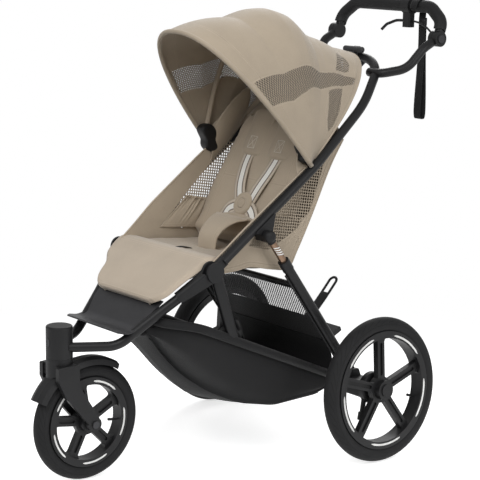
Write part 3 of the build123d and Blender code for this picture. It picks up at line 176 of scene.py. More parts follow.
def smooth_path(points, steps):
    """Points of a smooth open line through the given ones."""
    pts = [points[0]] + list(points) + [points[-1]]
    out = []
    for i in range(1, len(pts) - 2):
        p0, p1, p2, p3 = pts[i - 1:i + 3]
        for k in range(steps):
            t = k / steps
            out.append(0.5 * ((2 * p1) + (p2 - p0) * t + (2 * p0 - 5 * p1 + 4 * p2 - p3) * t * t
                              + (3 * p1 - p0 - 3 * p2 + p3) * t ** 3))
    out.append(pts[-2].copy())
    return out


def heading(path, i):
    return (path[min(i + 1, len(path) - 1)] - path[max(i - 1, 0)]).normalized()


def ring_points(center, u, v, radius, count):
    return [center + (u * cos(k * tau / count) + v * sin(k * tau / count)) * radius
            for k in range(count)]


def cord(name, points, radius, body, slot, sides=8):
    """A round tube that follows points, its radius in millimetres."""
    rows = []
    up = Vector((0.3, 0.2, 1.0)).normalized()
    for i, p in enumerate(points):
        t = heading(points, i)
        u = t.cross(up).normalized()
        rows.append(ring_points(p, u, t.cross(u).normalized(), radius * MM, sides))
    obj = grid_object(name, rows, closed=True)
    bm = bmesh.new()
    bm.from_mesh(obj.data)
    bm.verts.ensure_lookup_table()
    for ring in (bm.verts[:sides], bm.verts[-sides:]):
        bm.faces.new(ring)
    bmesh.ops.recalc_face_normals(bm, faces=bm.faces)
    bm.to_mesh(obj.data)
    bm.free()
    return dress(obj, body, slot)


def ribbon(name, points, width, across, thick=1.6):
    """A flat strap along points; width is in millimetres, and it and its direction can be one for each."""
    rows = []
    coords = []
    run = 0.0
    for i, p in enumerate(points):
        if i:
            run += (p - points[i - 1]).length
        w = (width[i] if isinstance(width, list) else width) * MM
        d = across[i] if isinstance(across, list) else across
        rows.append([p - d * w / 2 + d * w * k / 8 for k in range(9)])
        coords += [(k / 8, run) for k in range(9)]
    obj = grid_object(name, rows, uv=coords)
    thicken(obj, thick)
    return obj


def bands(name, strips, thick, body, mat, smooth=False):
    """Thin strips in one mesh; each is a line of (one edge, other edge) pairs."""
    verts = []
    faces = []
    for strip in strips:
        start = len(verts)
        verts += [p for edges in strip for p in edges]
        faces += [(i, i + 1, i + 3, i + 2) for i in range(start, len(verts) - 2, 2)]
    obj = mesh_object(name, verts, faces, smooth)
    thicken(obj, thick)
    dress(obj, body, mat=mat)


def lathe(name, profile, center, axis, side, steps=72):
    """A turned piece: (radius, height) points about an axis through center."""
    other = axis.cross(side).normalized()
    rows = [ring_points(center + axis * h * MM, side, other, r * MM, steps) for r, h in profile]
    return grid_object(name, rows, closed=True)


def node_copy(name, node, grow=0.0):
    """A new mesh from a CAD node's, moved out along its normals."""
    bm = bmesh.new()
    bm.from_mesh(frame["nodes"][node].data)
    bmesh.ops.remove_doubles(bm, verts=bm.verts, dist=0.02 * MM)
    bm.normal_update()
    for v in bm.verts:
        v.co += v.normal * grow
    mesh = bpy.data.meshes.new(name)
    bm.to_mesh(mesh)
    bm.free()
    shade_smooth(mesh)
    return new_object(name, mesh)


# ---- materials ----------------------------------------------------------------------
class Nodes:
    """A short way to write the nodes of a material, or of a world."""

    def __init__(self, name, kind=bpy.data.materials):
        self.mat = kind.new(name)
        self.mat.use_nodes = True
        self.tree = self.mat.node_tree
        self.bsdf = self.tree.nodes.get("Principled BSDF")

    def add(self, kind, inputs=None, **attrs):
        node = self.tree.nodes.new("ShaderNode" + kind)
        for key, value in attrs.items():
            setattr(node, key, value)
        for key, value in (inputs or {}).items():
            self.put(node.inputs[key], value)
        return node

    def put(self, socket, value):
        """Link a socket, or set its value; a colour has three numbers."""
        if isinstance(value, bpy.types.NodeSocket):
            self.tree.links.new(value, socket)
        else:
            socket.default_value = (*value, 1) if isinstance(value, tuple) else value

    def math(self, op, a, b=0.0):
        return self.add("Math", {0: a, 1: b}, operation=op).outputs[0]

    def plus(self, a, b):
        return self.math("ADD", a, b)

    def minus(self, a, b):
        return self.math("SUBTRACT", a, b)

    def times(self, a, b):
        return self.math("MULTIPLY", a, b)

    def above(self, a, b):
        return self.math("GREATER_THAN", a, b)

    def below(self, a, b):
        return self.math("LESS_THAN", a, b)

    def near(self, a, b, reach):
        return self.below(self.math("ABSOLUTE", self.minus(a, b)), reach)

    def sine(self, a, period):
        return self.math("SINE", self.times(a, tau / period))

    def rise(self, value, low, high, **attrs):
        """0 at low, 1 at high."""
        inputs = {"Value": value, "From Min": low, "From Max": high}
        return self.add("MapRange", inputs, **attrs).outputs["Result"]

    def noise(self, scale, detail=3.0, rough=0.55, vector=None):
        inputs = {"Scale": scale, "Detail": detail, "Roughness": rough}
        if vector is not None:
            inputs["Vector"] = vector
        return self.add("TexNoise", inputs).outputs["Fac"]

    def coords(self):
        return self.add("TexCoord").outputs["Object"]

    def split(self, vector):
        return tuple(self.add("SeparateXYZ", {"Vector": vector}).outputs)

    def flat(self):
        """Place on the unrolled cloth."""
        return self.split(self.add("UVMap", uv_map="flat").outputs["UV"])

    def stored(self, name):
        return self.add("Attribute", attribute_name=name).outputs["Fac"]

    def ramp(self, fac, stops):
        node = self.add("ValToRGB", {"Fac": fac})
        elements = node.color_ramp.elements
        for end in (0, -1):
            elements[end].position, elements[end].color = stops[end][0], (*stops[end][1], 1)
        for pos, color in stops[1:-1]:
            elements.new(pos).color = (*color, 1)
        return node.outputs["Color"]

    def mix(self, fac, a, b):
        return self.add("Mix", {"Factor": fac, "A": a, "B": b}, data_type="RGBA").outputs["Result"]

    def bump(self, height, strength, distance):
        node = self.add("Bump", {"Height": height, "Strength": strength, "Distance": distance * MM})
        return node.outputs["Normal"]

    def finish(self, color, rough, normal=None, **sockets):
        if normal is not None:
            sockets["Normal"] = normal
        for key, value in {"Base_Color": color, "Roughness": rough, **sockets}.items():
            self.put(self.bsdf.inputs[key.replace("_", " ")], value)
        return self.mat


def srgb(r, g, b):
    """Linear colour from 8-bit display values."""
    def lin(c):
        c /= 255
        return c / 12.92 if c < 0.04045 else ((c + 0.055) / 1.055) ** 2.4
    return (lin(r), lin(g), lin(b))


def grey(value):
    return srgb(value, value, value + 1)


def scaled(color, k):
    return tuple(min(1.0, c * k) for c in color)


TAUPE = srgb(176, 162, 143)
TAUPE_LIGHT = srgb(188, 174, 156)


def woven(n, base, pitch, wrinkle, rough):
    """Colour, height and roughness of plain weave, its threads a pitch apart in millimetres."""
    co = n.coords()
    fine = n.noise(520.0, 2.0, 0.5, co)
    tone = n.plus(n.times(n.noise(9.0, 4.0, 0.6, co), 0.7), n.times(fine, 0.3))
    color = n.ramp(tone, [(0.30, scaled(base, 0.90)), (0.5, base), (0.72, scaled(base, 1.07))])
    x, y, z = [n.sine(axis, pitch * MM) for axis in n.split(co)]
    weave = n.plus(n.times(n.times(x, y), 0.5), n.times(z, 0.5))
    height = n.plus(n.times(weave, 0.25), n.times(n.noise(38.0, 5.0, 0.62, co), wrinkle * 6))
    return color, height, n.plus(n.times(fine, 0.12), rough - 0.06)


def cloth(name, base, pitch=1.1, sheen=0.35, wrinkle=0.25, rough=0.78):
    n = Nodes(name)
    color, height, roughness = woven(n, base, pitch, wrinkle, rough)
    return n.finish(color, roughness, n.bump(height, 0.35, 0.8), Sheen_Weight=sheen, Sheen_Roughness=0.45,
                    Specular_IOR_Level=0.25)


STITCH = 4.2 * MM


def sewn_cloth(name, base, sheen=0.35, wrinkle=0.25, rough=0.78, net=None, open_at=0.5):
    """Woven cloth with stitched seams and painted shade in their creases and, where marked, windows of open
    net with painted shade round each hole.
    """
    n = Nodes(name)
    color, height, roughness = woven(n, base, 1.1, wrinkle, rough)
    seam = n.stored("seam")
    x, y, _ = n.flat()
    dash = n.above(n.sine(n.plus(x, y), STITCH), -0.35)
    stitch = n.times(n.near(seam, 0.68, 0.05), dash)
    # painted shade: the colour darkens towards each seam line, as shade in its crease; the same mask sinks
    # the bump there
    crease_dip_and_shade = n.rise(seam, 0.86, 1.0)
    shade = n.mix(n.times(crease_dip_and_shade, 0.55), color, scaled(base, 0.55))
    color = n.mix(n.times(stitch, 0.45), shade, scaled(base, 1.35))
    height = n.plus(n.plus(height, n.times(crease_dip_and_shade, -1.6)), n.times(stitch, 0.7))
    if net:
        u, v = n.math("DIVIDE", x, net * MM), n.math("DIVIDE", y, net * MM)
        a, b = [n.math("COSINE", n.times(way, pi)) for way in (n.plus(u, v), n.minus(u, v))]
        cell = n.times(n.times(a, a), n.times(b, b))
        inside = n.above(n.stored("window"), 0.0)
        height = n.plus(height, n.times(n.times(inside, cell), -1.4))
        # painted shade: a near-black ring round each net hole, standing for the shaded inside seen through
        # the net
        rim = n.times(inside, n.rise(cell, 0.03, 0.20))
        color = n.mix(n.times(rim, 0.95), color, scaled(base, 0.07))
        hole = n.times(inside, n.above(cell, open_at))
        n.put(n.bsdf.inputs["Alpha"], n.minus(1.0, hole))
    return n.finish(color, roughness, n.bump(height, 0.4, 0.8), Sheen_Weight=sheen, Sheen_Roughness=0.45,
                    Specular_IOR_Level=0.25)


def plastic(name, base, rough=0.5, grain=0.15, wear=0.25):
    """Moulded plastic with a fine grain, faint scuffs and paler edges."""
    n = Nodes(name)
    co = n.coords()
    edge = n.add("NewGeometry").outputs["Pointiness"]
    worn = n.ramp(edge, [(0.52, (0, 0, 0)), (0.60, (wear, wear, wear))])
    tone = n.ramp(n.noise(14.0, 4.0, 0.6, co), [(0.35, scaled(base, 0.86)), (0.65, scaled(base, 1.12))])
    color = n.mix(worn, tone, scaled(base, 2.2))
    roughness = n.plus(n.times(n.noise(60.0, 3.0, 0.6, co), 0.16), rough - 0.08)
    height = n.noise(1400.0, 2.0, 0.5, co)
    return n.finish(color, roughness, n.bump(height, grain, 0.12), Specular_IOR_Level=0.26)


def coated_metal(name, base, rough=0.42, metallic=0.0):
    """Powder-coated or anodised tube: fine orange peel, soft gloss."""
    n = Nodes(name)
    co = n.coords()
    tone = n.ramp(n.noise(6.0, 3.0, 0.5, co), [(0.3, scaled(base, 0.9)), (0.7, scaled(base, 1.1))])
    roughness = n.plus(n.times(n.noise(45.0, 4.0, 0.6, co), 0.18), rough - 0.09)
    return n.finish(tone, roughness, n.bump(n.noise(900.0, 2.0, 0.5, co), 0.08, 0.1), Metallic=metallic,
                    Specular_IOR_Level=0.26)


FRONT_WHEEL_BACK, FRONT_WHEEL_RADIUS, REAR_WHEEL_RADIUS = -631, 135.5, 171.6


def tyre_rubber():
    """Rubber with fine slanted grooves over each tyre's shoulders and a ring below them, both darkened with
    painted shade.
    """
    n = Nodes("tyre_rubber_skin")
    co = n.coords()
    _, y, z = n.split(co)
    rear = n.above(y, 0.0)
    front_y, front_z = AXLE.y + FRONT_WHEEL_BACK * MM, FRONT_WHEEL_RADIUS * MM
    outer = n.plus(n.times(rear, REAR_WHEEL_RADIUS * MM - front_z), front_z)
    dy = n.minus(y, n.plus(n.times(rear, AXLE.y - front_y), front_y))
    dz = n.minus(z, outer)
    depth = n.minus(outer, n.math("SQRT", n.plus(n.times(dy, dy), n.times(dz, dz))))
    slant = n.plus(n.times(n.math("ARCTAN2", dy, dz), 44.0), n.times(depth, 900.0))
    shoulder = n.times(n.above(depth, 2.2 * MM), n.below(depth, 11 * MM))
    cut = n.times(n.above(n.math("SINE", slant), 0.72), shoulder)
    low = n.math("MAXIMUM", cut, n.near(depth, 14.0 * MM, 0.7 * MM))
    base = grey(29)
    tone = n.ramp(n.noise(20.0, 4.0, 0.6, co), [(0.3, scaled(base, 0.85)), (0.7, scaled(base, 1.15))])
    # painted shade: the grooves and the ring are drawn darker, as shade in recesses
    color = n.mix(n.times(low, 0.6), tone, scaled(base, 0.4))
    height = n.minus(n.times(n.noise(1100.0), 0.15), low)
    return n.finish(color, n.plus(n.times(n.noise(50.0), 0.12), 0.66), n.bump(height, 0.6, 1.2),
                    Specular_IOR_Level=0.25)


def striped_webbing():
    """Woven webbing: pale edges, two thin dark lines and a reflective white middle."""
    n = Nodes("webbing_striped")
    x, y, _ = n.flat()
    off = n.math("ABSOLUTE", n.minus(x, 0.5))
    rib = n.sine(y, 1.3 * MM)
    edge = n.mix(n.times(n.plus(rib, 1.0), 0.25), TAUPE_LIGHT, scaled(TAUPE_LIGHT, 0.72))
    white = n.mix(n.times(n.noise(900.0), 0.3), srgb(236, 234, 228), srgb(205, 202, 195))
    color = n.mix(n.below(off, 0.27), edge, srgb(84, 72, 66))
    color = n.mix(n.below(off, 0.195), color, white)
    color = n.mix(n.times(n.near(off, 0.38, 0.02), 0.8), color, srgb(214, 205, 192))
    return n.finish(color, 0.7, n.bump(rib, 0.3, 0.3), Sheen_Weight=0.2, Sheen_Roughness=0.5)


MATS = {
    "frame_black": coated_metal("frame_black_coat", grey(28)),
    "leg_bronze": coated_metal("bronze_anodised", srgb(138, 113, 94), 0.32, 0.8),
    "dark_plastic": plastic("dark_moulded", grey(27)),
    "footrest_plastic": plastic("footrest_moulded", srgb(47, 47, 49), 0.42),
    "wheel_plastic": plastic("wheel_moulded", grey(27), 0.45),
    "tyre_rubber": tyre_rubber(),
    "canopy_cloth": cloth("canopy_weave", TAUPE),
    "seat_cloth": cloth("seat_weave", TAUPE),
    "leg_rest_cloth": cloth("leg_rest_weave", TAUPE_LIGHT, rough=0.7),
    "basket_cloth": cloth("basket_weave", grey(26), sheen=0.06, rough=0.75),
    "webbing": cloth("webbing_black", grey(28), pitch=0.8, sheen=0.1, wrinkle=0.05),
    "grip_foam": plastic("grip_leatherette", grey(27), 0.6, 0.6),
    "steel": coated_metal("dark_steel", srgb(62, 62, 64), 0.35, 0.6),
    "cable_black": plastic("cable_jacket", grey(28), 0.5, 0.1),
    "button_grey": plastic("button_moulded", srgb(52, 52, 54)),
}
SEWN = sewn_cloth("sewn_taupe", TAUPE)
SEWN_PAD = sewn_cloth("sewn_taupe_pad", TAUPE_LIGHT, rough=0.7, wrinkle=0.18)
SEWN_NET = sewn_cloth("sewn_taupe_net", TAUPE, net=10.0)
SEWN_WALL = sewn_cloth("sewn_wall_net", TAUPE, net=9.6, open_at=0.2)
SEWN_PLAIN = cloth("sewn_cover", TAUPE, pitch=0.9, wrinkle=0.05)
BLACK_NET = sewn_cloth("sewn_black_net", srgb(36, 36, 37), sheen=0.12, wrinkle=0.1, rough=0.62, net=7.5,
                       open_at=0.3)
STRIPED = striped_webbing()
THREAD = cloth("white_thread", srgb(225, 220, 210), pitch=0.5, wrinkle=0.05)
WHITE = plastic("reflective_white", srgb(235, 235, 233), 0.4, 0.05, 0.0)

SLOT_OF = {s["node"]: s["material_slot"] for s in frame["record"]["subparts"]}
for node_name, node in frame["nodes"].items():
    for k in range(max(1, len(node.material_slots))):
        if not node.material_slots:
            node.data.materials.append(MATS[SLOT_OF[node_name]])
        node.material_slots[k].material = MATS[SLOT_OF[node_name]]


# ---- sewn surfaces ------------------------------------------------------------------
def lerp(x, xs, ys):
    """Value at x on the line through the points (xs, ys)."""
    if x <= xs[0]:
        return ys[0]
    for k in range(1, len(xs)):
        if x <= xs[k]:
            f = (x - xs[k - 1]) / (xs[k] - xs[k - 1])
            return ys[k - 1] + (ys[k] - ys[k - 1]) * f
    return ys[-1]


def ease(x):
    x = min(1.0, max(0.0, x))
    return x * x * (3 - 2 * x)


def line_distance(p, line):
    """Distance in the plane from p to an open line of points."""
    best = FAR
    for a, b in zip(line, line[1:]):
        dx, dy = b[0] - a[0], b[1] - a[1]
        t = ((p[0] - a[0]) * dx + (p[1] - a[1]) * dy) / max(dx * dx + dy * dy, 1e-12)
        t = min(1.0, max(0.0, t))
        best = min(best, hypot(p[0] - a[0] - dx * t, p[1] - a[1] - dy * t))
    return best


def within(p, outline):
    inside = False
    for a, b in zip(outline, outline[1:] + outline[:1]):
        if (a[1] > p[1]) != (b[1] > p[1]) and p[0] < (b[0] - a[0]) * (p[1] - a[1]) / (b[1] - a[1]) + a[0]:
            inside = not inside
    return inside


def inset(p, outlines):
    """How far p lies inside the nearest outline; negative outside them all."""
    best = -FAR
    for outline in outlines:
        d = line_distance(p, outline + outline[:1])
        best = max(best, d if within(p, outline) else -d)
    return best


SEAM_REACH = 9.0
FAR = 1e3


def mark(obj, name, values):
    attr = obj.data.attributes.new(name, "FLOAT", "POINT")
    attr.data.foreach_set("value", values)


def mark_seams(obj, flats, lines, windows=()):
    """Store each vertex's nearness to a seam and how far it lies inside a net window."""
    depths = [inset(p, windows) for p in flats]
    gaps = [min([line_distance(p, line) for line in lines] + [abs(depth)]) for p, depth in zip(flats, depths)]
    mark(obj, "seam", [max(0.0, 1 - gap / SEAM_REACH) for gap in gaps])
    mark(obj, "window", depths)


# thickness in millimetres of the lining, the main cloth and the heavy cloth
THIN, MAIN, HEAVY = 1.4, 1.6, 1.8


def sewn(name, rows, flats, look, thick=0.0, offset=0.0, lines=(), windows=(), uv=None):
    """A cloth surface through rows of points. Its flats, seam lines and net windows are in millimetres on
    the unrolled cloth; look is its body, slot and material."""
    obj = grid_object(name, rows, uv=uv or in_metres(flats))
    mark_seams(obj, flats, lines, windows)
    if thick:
        thicken(obj, thick, offset)
    return dress(obj, *look)


def pair(*line):
    """A seam line and its mirror image."""
    return [list(line), [(-x, y) for x, y in line]]


def patch(steps, count, spot):
    """Rows of points and their flat places: spot(f, k) gives both, f from 0 to 1 and k from 0 to count."""
    rows, flats = [], []
    for i in range(steps + 1):
        pairs = [spot(i / steps, k) for k in range(count + 1)]
        rows.append([p for p, _ in pairs])
        flats += [q for _, q in pairs]
    return rows, flats


def lengthwise(path, count, place):
    """Rows across a path, their flat places and the path's length: place(i, run, g) gives the shift and
    the flat width, run millimetres along and g from -1 to 1 across."""
    rows, flats, run = [], [], 0.0
    for i, p in enumerate(path):
        if i:
            run += (p - path[i - 1]).length / MM
        pairs = [place(i, run, -1 + 2 * k / count) for k in range(count + 1)]
        rows.append([p + shift for shift, _ in pairs])
        flats += [(width, run) for _, width in pairs]
    return rows, flats, run


def sheet_area(rows):
    return sum((rows[i + 1][j] - rows[i][j]).cross(rows[i][j + 1] - rows[i][j]).length
               for i in range(len(rows) - 1) for j in range(len(rows[0]) - 1))


def beside(p):
    """(back, up) in millimetres of a point."""
    return ((p.y - AXLE.y) / MM, p.z / MM)


def spread(points, count):
    """count points evenly along a line of points."""
    runs = [0.0]
    for a, b in zip(points, points[1:]):
        runs.append(runs[-1] + (b - a).length)
    out = []
    for k in range(count):
        d = runs[-1] * k / (count - 1)
        i = next(i for i in range(1, len(runs)) if d <= runs[i] + 1e-9)
        f = (d - runs[i - 1]) / max(runs[i] - runs[i - 1], 1e-9)
        out.append(points[i - 1].lerp(points[i], min(1.0, f)))
    return out


# ---- canopy -------------------------------------------------------------------------
FAN = at(0, -125, 693)
FAN_FROM, FAN_TO = 50.0, 136.9
FOOT = 0.8                   # turn at which the cloth's left foot starts
# reach of the crown from the fan's corner, by the angle above the forward horizontal
CROWN_ANGLES = (50, 73, 83, 89, 95.6, 105, 111.3, 126.9, 136.9)
CROWN_REACH = (406, 353, 357.6, 357, 347.7, 315.8, 313.5, 326.4, 360)
SIDE_ANGLES = (50, 73, 90, 110, 136.9)
SIDE_HALF = (187, 184, 180, 174, 166)
HOOP_POWER = 0.881


def canopy_point(angle, turn, out=0.0):
    """A point of the cloth: fan angle in degrees, turn from the left foot (0) to the right (180)."""
    reach = lerp(angle, CROWN_ANGLES, CROWN_REACH) + out
    half = lerp(angle, SIDE_ANGLES, SIDE_HALF) + out
    t = radians(turn)
    c = cos(t)
    x = copysign(abs(c) ** HOOP_POWER, c) * half
    r = reach * sin(t) ** HOOP_POWER
    a = radians(angle)
    return FAN + Vector((x, -r * cos(a), r * sin(a))) * MM


def flat_canopy(angle, turn):
    """Rough unrolled millimetres of the cloth at a fan angle and turn."""
    return (angle * 6.1, turn * 5.2)


def both_sides(*lines):
    """Lines of (angle, turn) on the flat cloth, and the same lines on the other side."""
    both = list(lines) + [[(a, 180 - t) for a, t in line] for line in lines]
    return [[flat_canopy(*p) for p in line] for line in both]


CANOPY_NETS = both_sides(
    [(52.5, 25), (52.5, 37), (70, 37.5), (85, 37.5), (98, 40), (114, 45), (126, 48), (134, 48), (134, 43),
     (125, 40), (108, 34), (87, 26.5), (72, 25)],
    [(114, 34), (127, 39), (128, 33), (131, 25), (131.5, 18), (128, 15), (119, 20), (116, 27)],
    [(123, 67), (128, 66), (130, 59), (129.5, 51.5), (119.5, 48.5), (121, 56)])
CANOPY_SEAMS = both_sides(
    [(59, 0), (59, 24)], [(57.5, 37.5), (56, 90)], [(97, 90), (97.5, 56), (100.5, 40)],
    [(122.5, 90), (122, 67), (118, 48), (113, 34), (113.5, 23), (125, 15), (130, 9)],
    [(134.6, 0), (134.6, 90)], [(132.8, 0), (132.8, 90)])


def canopy_skin():
    count = 150

    def spot(f, k):
        angle, turn = FAN_FROM + (FAN_TO - FAN_FROM) * f, FOOT + (180 - 2 * FOOT) * k / count
        return canopy_point(angle, turn), flat_canopy(angle, turn)
    rows, flats = patch(116, count, spot)
    obj = sewn("canopy_skin", rows, flats, (None, "canopy_cloth", SEWN_NET), MAIN, -1.0, CANOPY_SEAMS,
               CANOPY_NETS)
    sheet_area(rows)
    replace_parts(obj, "canopy_front_panel", "canopy_rear_panel")
    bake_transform(obj)


def canopy_hem(name, angle, foot, radius, body, sides):
    points = [canopy_point(angle, foot + (180 - 2 * foot) * k / 90) for k in range(91)]
    return cord(name, points, radius, body, "canopy_cloth", sides)


canopy_skin()
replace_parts(canopy_hem("canopy_rim", FAN_FROM, FOOT, 5.6, "front_canopy", 14), "front_bow")
canopy_hem("canopy_rear_hem", FAN_TO, 3, 3.2, "upper_frame", 10)


def under_skin(angle, turn, depth):
    """Point under the cloth in a plane at an angle through the canopy's hinge line."""
    low, high = FAN_FROM - 20, FAN_TO + 20
    for _ in range(24):
        mid = (low + high) / 2
        p = canopy_point(mid, turn, -depth)
        if degrees(atan2(p.z - HINGE.z, HINGE.y - p.y)) < angle:
            low = mid
        else:
            high = mid
    return p


def bow_sleeves():
    """Cloth sleeves over the two inner bows, which follow the cloth from hinge to hinge."""
    for node, body, angle, radius, depth in (("mid_bow", "mid_canopy", 97.0, 6.3, 7.5),
                                             ("rear_bow", "upper_frame", 136.0, 4.6, 6.5)):
        points = [under_skin(angle, 9 + 162 * k / 80, depth) for k in range(81)]
        ends = [Vector((p.x, HINGE.y, HINGE.z)).lerp(p, 0.25) for p in (points[0], points[-1])]
        obj = cord(node + "_sleeve", [ends[0], *points, ends[1]], radius, body, "canopy_cloth", 14)
        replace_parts(obj, node)


# across from the middle plane, and the share of the outline's size there
HINGE_COVER = ((154, 0.04), (154, 0.5), (154, 0.8), (156, 0.94), (160, 1.0), (178, 1.0), (182, 0.94),
               (184, 0.8), (184, 0.04))


def hinge_covers():
    """Rounded black housings over the canopy's hinge, one inside each foot."""
    for (side, word), push, size in zip(SIDES, (7.0, -6.0), (0.62, 1.22)):
        outline = []
        for back, up, r, start, sweep in ((-157, 739, 21, -35, 190), (-143, 716, 18, 155, 170)):
            turns = [radians(start + sweep * k / 12) for k in range(13)]
            outline += [(back + push + r * size * cos(a), up + r * size * sin(a)) for a in turns]
        mid_back, mid_up = -150.0 + push, 728.0
        rows = [[at(side * x, mid_back + (b - mid_back) * k, mid_up + (u - mid_up) * k) for b, u in outline]
                for x, k in HINGE_COVER]
        obj = grid_object(word + "_hinge_cover", rows, closed=True)
        refine(obj)
        dress(obj, "upper_frame", "dark_plastic")
        if side == 1:
            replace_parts(obj, "canopy_sockets")


GUSSET_TOP = ((-150, 744), (-124, 788), (-98, 822), (-72, 844), (-50, 856))
GUSSET_LOW = ((-152, 668), (-112, 700), (-84, 724), (-62, 748), (-46, 774))


def canopy_gussets():
    """Lining between the canopy's foot and the side wall, from the hinge to the back's top."""
    count = 39
    top, low = [spread(side_line(*line), count + 1) for line in (GUSSET_TOP, GUSSET_LOW)]
    for side, word in SIDES:
        def spot(f, k):
            p = top[k].lerp(low[k], f)
            return moved(p, side * (163 - 30 * (1 - f) * k / count - 6 * sin(pi * f))), beside(p)
        rows, flats = patch(15, count, spot)
        obj = sewn(word + "_gusset", rows, flats, ("upper_frame", "canopy_cloth", SEWN), THIN,
                   lines=[[beside(p) for p in low]])
        sheet_area(rows)


hinge_covers()
bow_sleeves()


# ---- side walls ---------------------------------------------------------------------
HUB = at(0, -409, 483)
SLOPE_COS, SLOPE_SIN = cos(radians(35.65)), sin(radians(35.65))
WALL_X = 165.0
WALL_HEM = [(-378, 474), (-330, 476), (-291, 480), (-230, 467), (-178, 463), (-152, 500), (-106, 585),
            (-54, 690), (-14, 752)]
WALL_NET = [(-296, 527), (-225, 600), (-150, 668), (-75, 736), (-57, 738), (-113, 592), (-132, 573),
            (-152, 552), (-183, 536), (-235, 512)]
# height of each wall's top over the main tube's axis, by the distance along it
WALL_LIFTS = (((0, 60, 120, 300, 480), (11, 11, 12, 9, 6)), ((0, 60, 120, 300, 480), (22, 27, 34, 37, 30)))


def on_tube(along, lift):
    """Point beside the main tube: along it from the fold pivot, and over its axis."""
    return HUB + Vector((0, along * SLOPE_COS - lift * SLOPE_SIN, along * SLOPE_SIN + lift * SLOPE_COS)) * MM


def side_walls():
    count = 119
    for (side, word), lifts in zip(SIDES, WALL_LIFTS):
        top = spread([on_tube(a, lerp(a, *lifts)) for a in range(6, 487, 20)], count + 1)
        low = spread(smooth_path(side_line(*WALL_HEM), 6), count + 1)

        def spot(f, k):
            p = top[k].lerp(low[k], f)
            return moved(p, side * (WALL_X - 3.0 * sin(pi * f) * sin(pi * k / count))), beside(p)
        rows, flats = patch(70, count, spot)
        uv = in_metres([(b * SLOPE_COS + u * SLOPE_SIN, u * SLOPE_COS - b * SLOPE_SIN) for b, u in flats])
        inner = [(b - 7 if b > -170 else b, u + 9) for b, u in [beside(p) for p in low]]
        obj = sewn(word + "_wall", rows, flats, ("upper_frame", "seat_cloth", SEWN_WALL), MAIN,
                   lines=[inner, [beside(p) for p in top], WALL_HEM[5:]], windows=[WALL_NET], uv=uv)
        sheet_area(rows)
        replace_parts(obj, word + "_side_panel")
        for part, line, r in (("top", top, 2.3), ("hem", low, 2.0)):
            path = [moved(p, side * (WALL_X + 0.5)) for p in line]
            cord(f"{word}_wall_{part}_piping", path, r, "upper_frame", "seat_cloth")


POCKET = [Vector(p) for p in ((-307, 522), (-229, 592), (-133, 572), (-160, 507))]


def pockets():
    """Gathered pockets inside the walls, under the nets."""
    a, b, c, d = POCKET
    count = 90
    for side, word in SIDES:
        def spot(f, k):
            g = k / count
            p = b.lerp(c, g).lerp(a.lerp(d, g), f)
            gather = (1 - f) ** 1.4
            wave = sin(g * 58 + 2.2 * sin(g * 17)) * 2.2 + sin(g * 29 + 1.0 + f * 2) * 2.0
            x = 160.0 - 7.0 * sin(pi * g) * (0.5 + 0.5 * sin(pi * f)) - wave * gather
            return at(side * x, p.x, p.y + 1.2 * sin(g * 46) * gather), (p.x, p.y)
        rows, flats = patch(30, count, spot)
        obj = sewn(word + "_pocket", rows, flats, ("upper_frame", "seat_cloth", SEWN), THIN,
                   lines=[[(a.x, a.y + 6), (d.x, d.y + 6)], [(b.x, b.y - 6), (c.x, c.y - 6)]])
        sheet_area(rows)
        band = [p - ACROSS * side * MM for p in rows[0]]
        cord(word + "_pocket_elastic", band, 2.6, "upper_frame", "seat_cloth")


side_walls()
pockets()
canopy_gussets()


# ---- padded pieces ------------------------------------------------------------------
PUFF_FRAMES = 20
VOXEL = 5.5 * MM


def puffed(name, node, mat, body, slot, cap, flat, lines, shape=None):
    """A stuffed copy of a CAD cushion: inflated as cloth, capped, smoothed and seamed."""
    obj = node_copy(name, node)
    if shape:
        for v in obj.data.vertices:
            v.co = shape(v.co)
    modifier(obj, "REMESH", mode="VOXEL", voxel_size=VOXEL)
    apply_modifiers(obj)
    rest = [v.co.copy() for v in obj.data.vertices]
    scene = bpy.context.scene
    cloth_mod = obj.modifiers.new("Cloth", "CLOTH")
    settings = cloth_mod.settings
    settings.quality = 4
    settings.mass = 0.25
    settings.use_pressure = True
    settings.uniform_pressure_force = 4.0
    settings.effector_weights.gravity = 0.0
    cloth_mod.point_cache.frame_start = 1
    cloth_mod.point_cache.frame_end = PUFF_FRAMES
    for f in range(1, PUFF_FRAMES + 1):
        scene.frame_set(f)
    apply_modifiers(obj)
    scene.frame_set(1)
    for v, r in zip(obj.data.vertices, rest):
        d = v.co - r
        if d.length > cap * MM:
            v.co = r + d * (cap * MM / d.length)
    modifier(obj, "SMOOTH", factor=0.5, iterations=4)
    refine(obj)
    apply_modifiers(obj)
    flats = [flat(v.co) for v in obj.data.vertices]
    flat_map(obj, in_metres(flats))
    shade_smooth(obj.data)
    mark_seams(obj, flats, lines)
    dress(obj, body, slot, mat)
    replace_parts(obj, node)


def seat_flat(p):
    return (p.x / MM, (p.y - AXLE.y) / MM)


REST_LOW = at(0, -522, 421)
REST_HALF = 140.0
REST_DIR = (HUB + Vector((0, 0, 21 * MM)) - REST_LOW).normalized()
REST_OUT = Vector((0, -REST_DIR.z, REST_DIR.y))
REST_CORNER = 34.0


def rest_flat(p):
    return (p.x / MM, (p - REST_LOW).dot(REST_DIR) / MM)


def corner_cut(d, reach):
    """How far a rounded corner draws an edge in, at a distance d from its end."""
    return reach - sqrt(max(0.0, reach ** 2 - (reach - d) ** 2)) if d < reach else 0.0


def rest_limit(d):
    """Half the leg rest's width at a distance up from its lower edge, with rounded corners."""
    d = max(d, 0.0)
    return lerp(d, (0, 37, 80, 121, 150), (124, 138, 149, 159, 165)) - corner_cut(d, REST_CORNER)


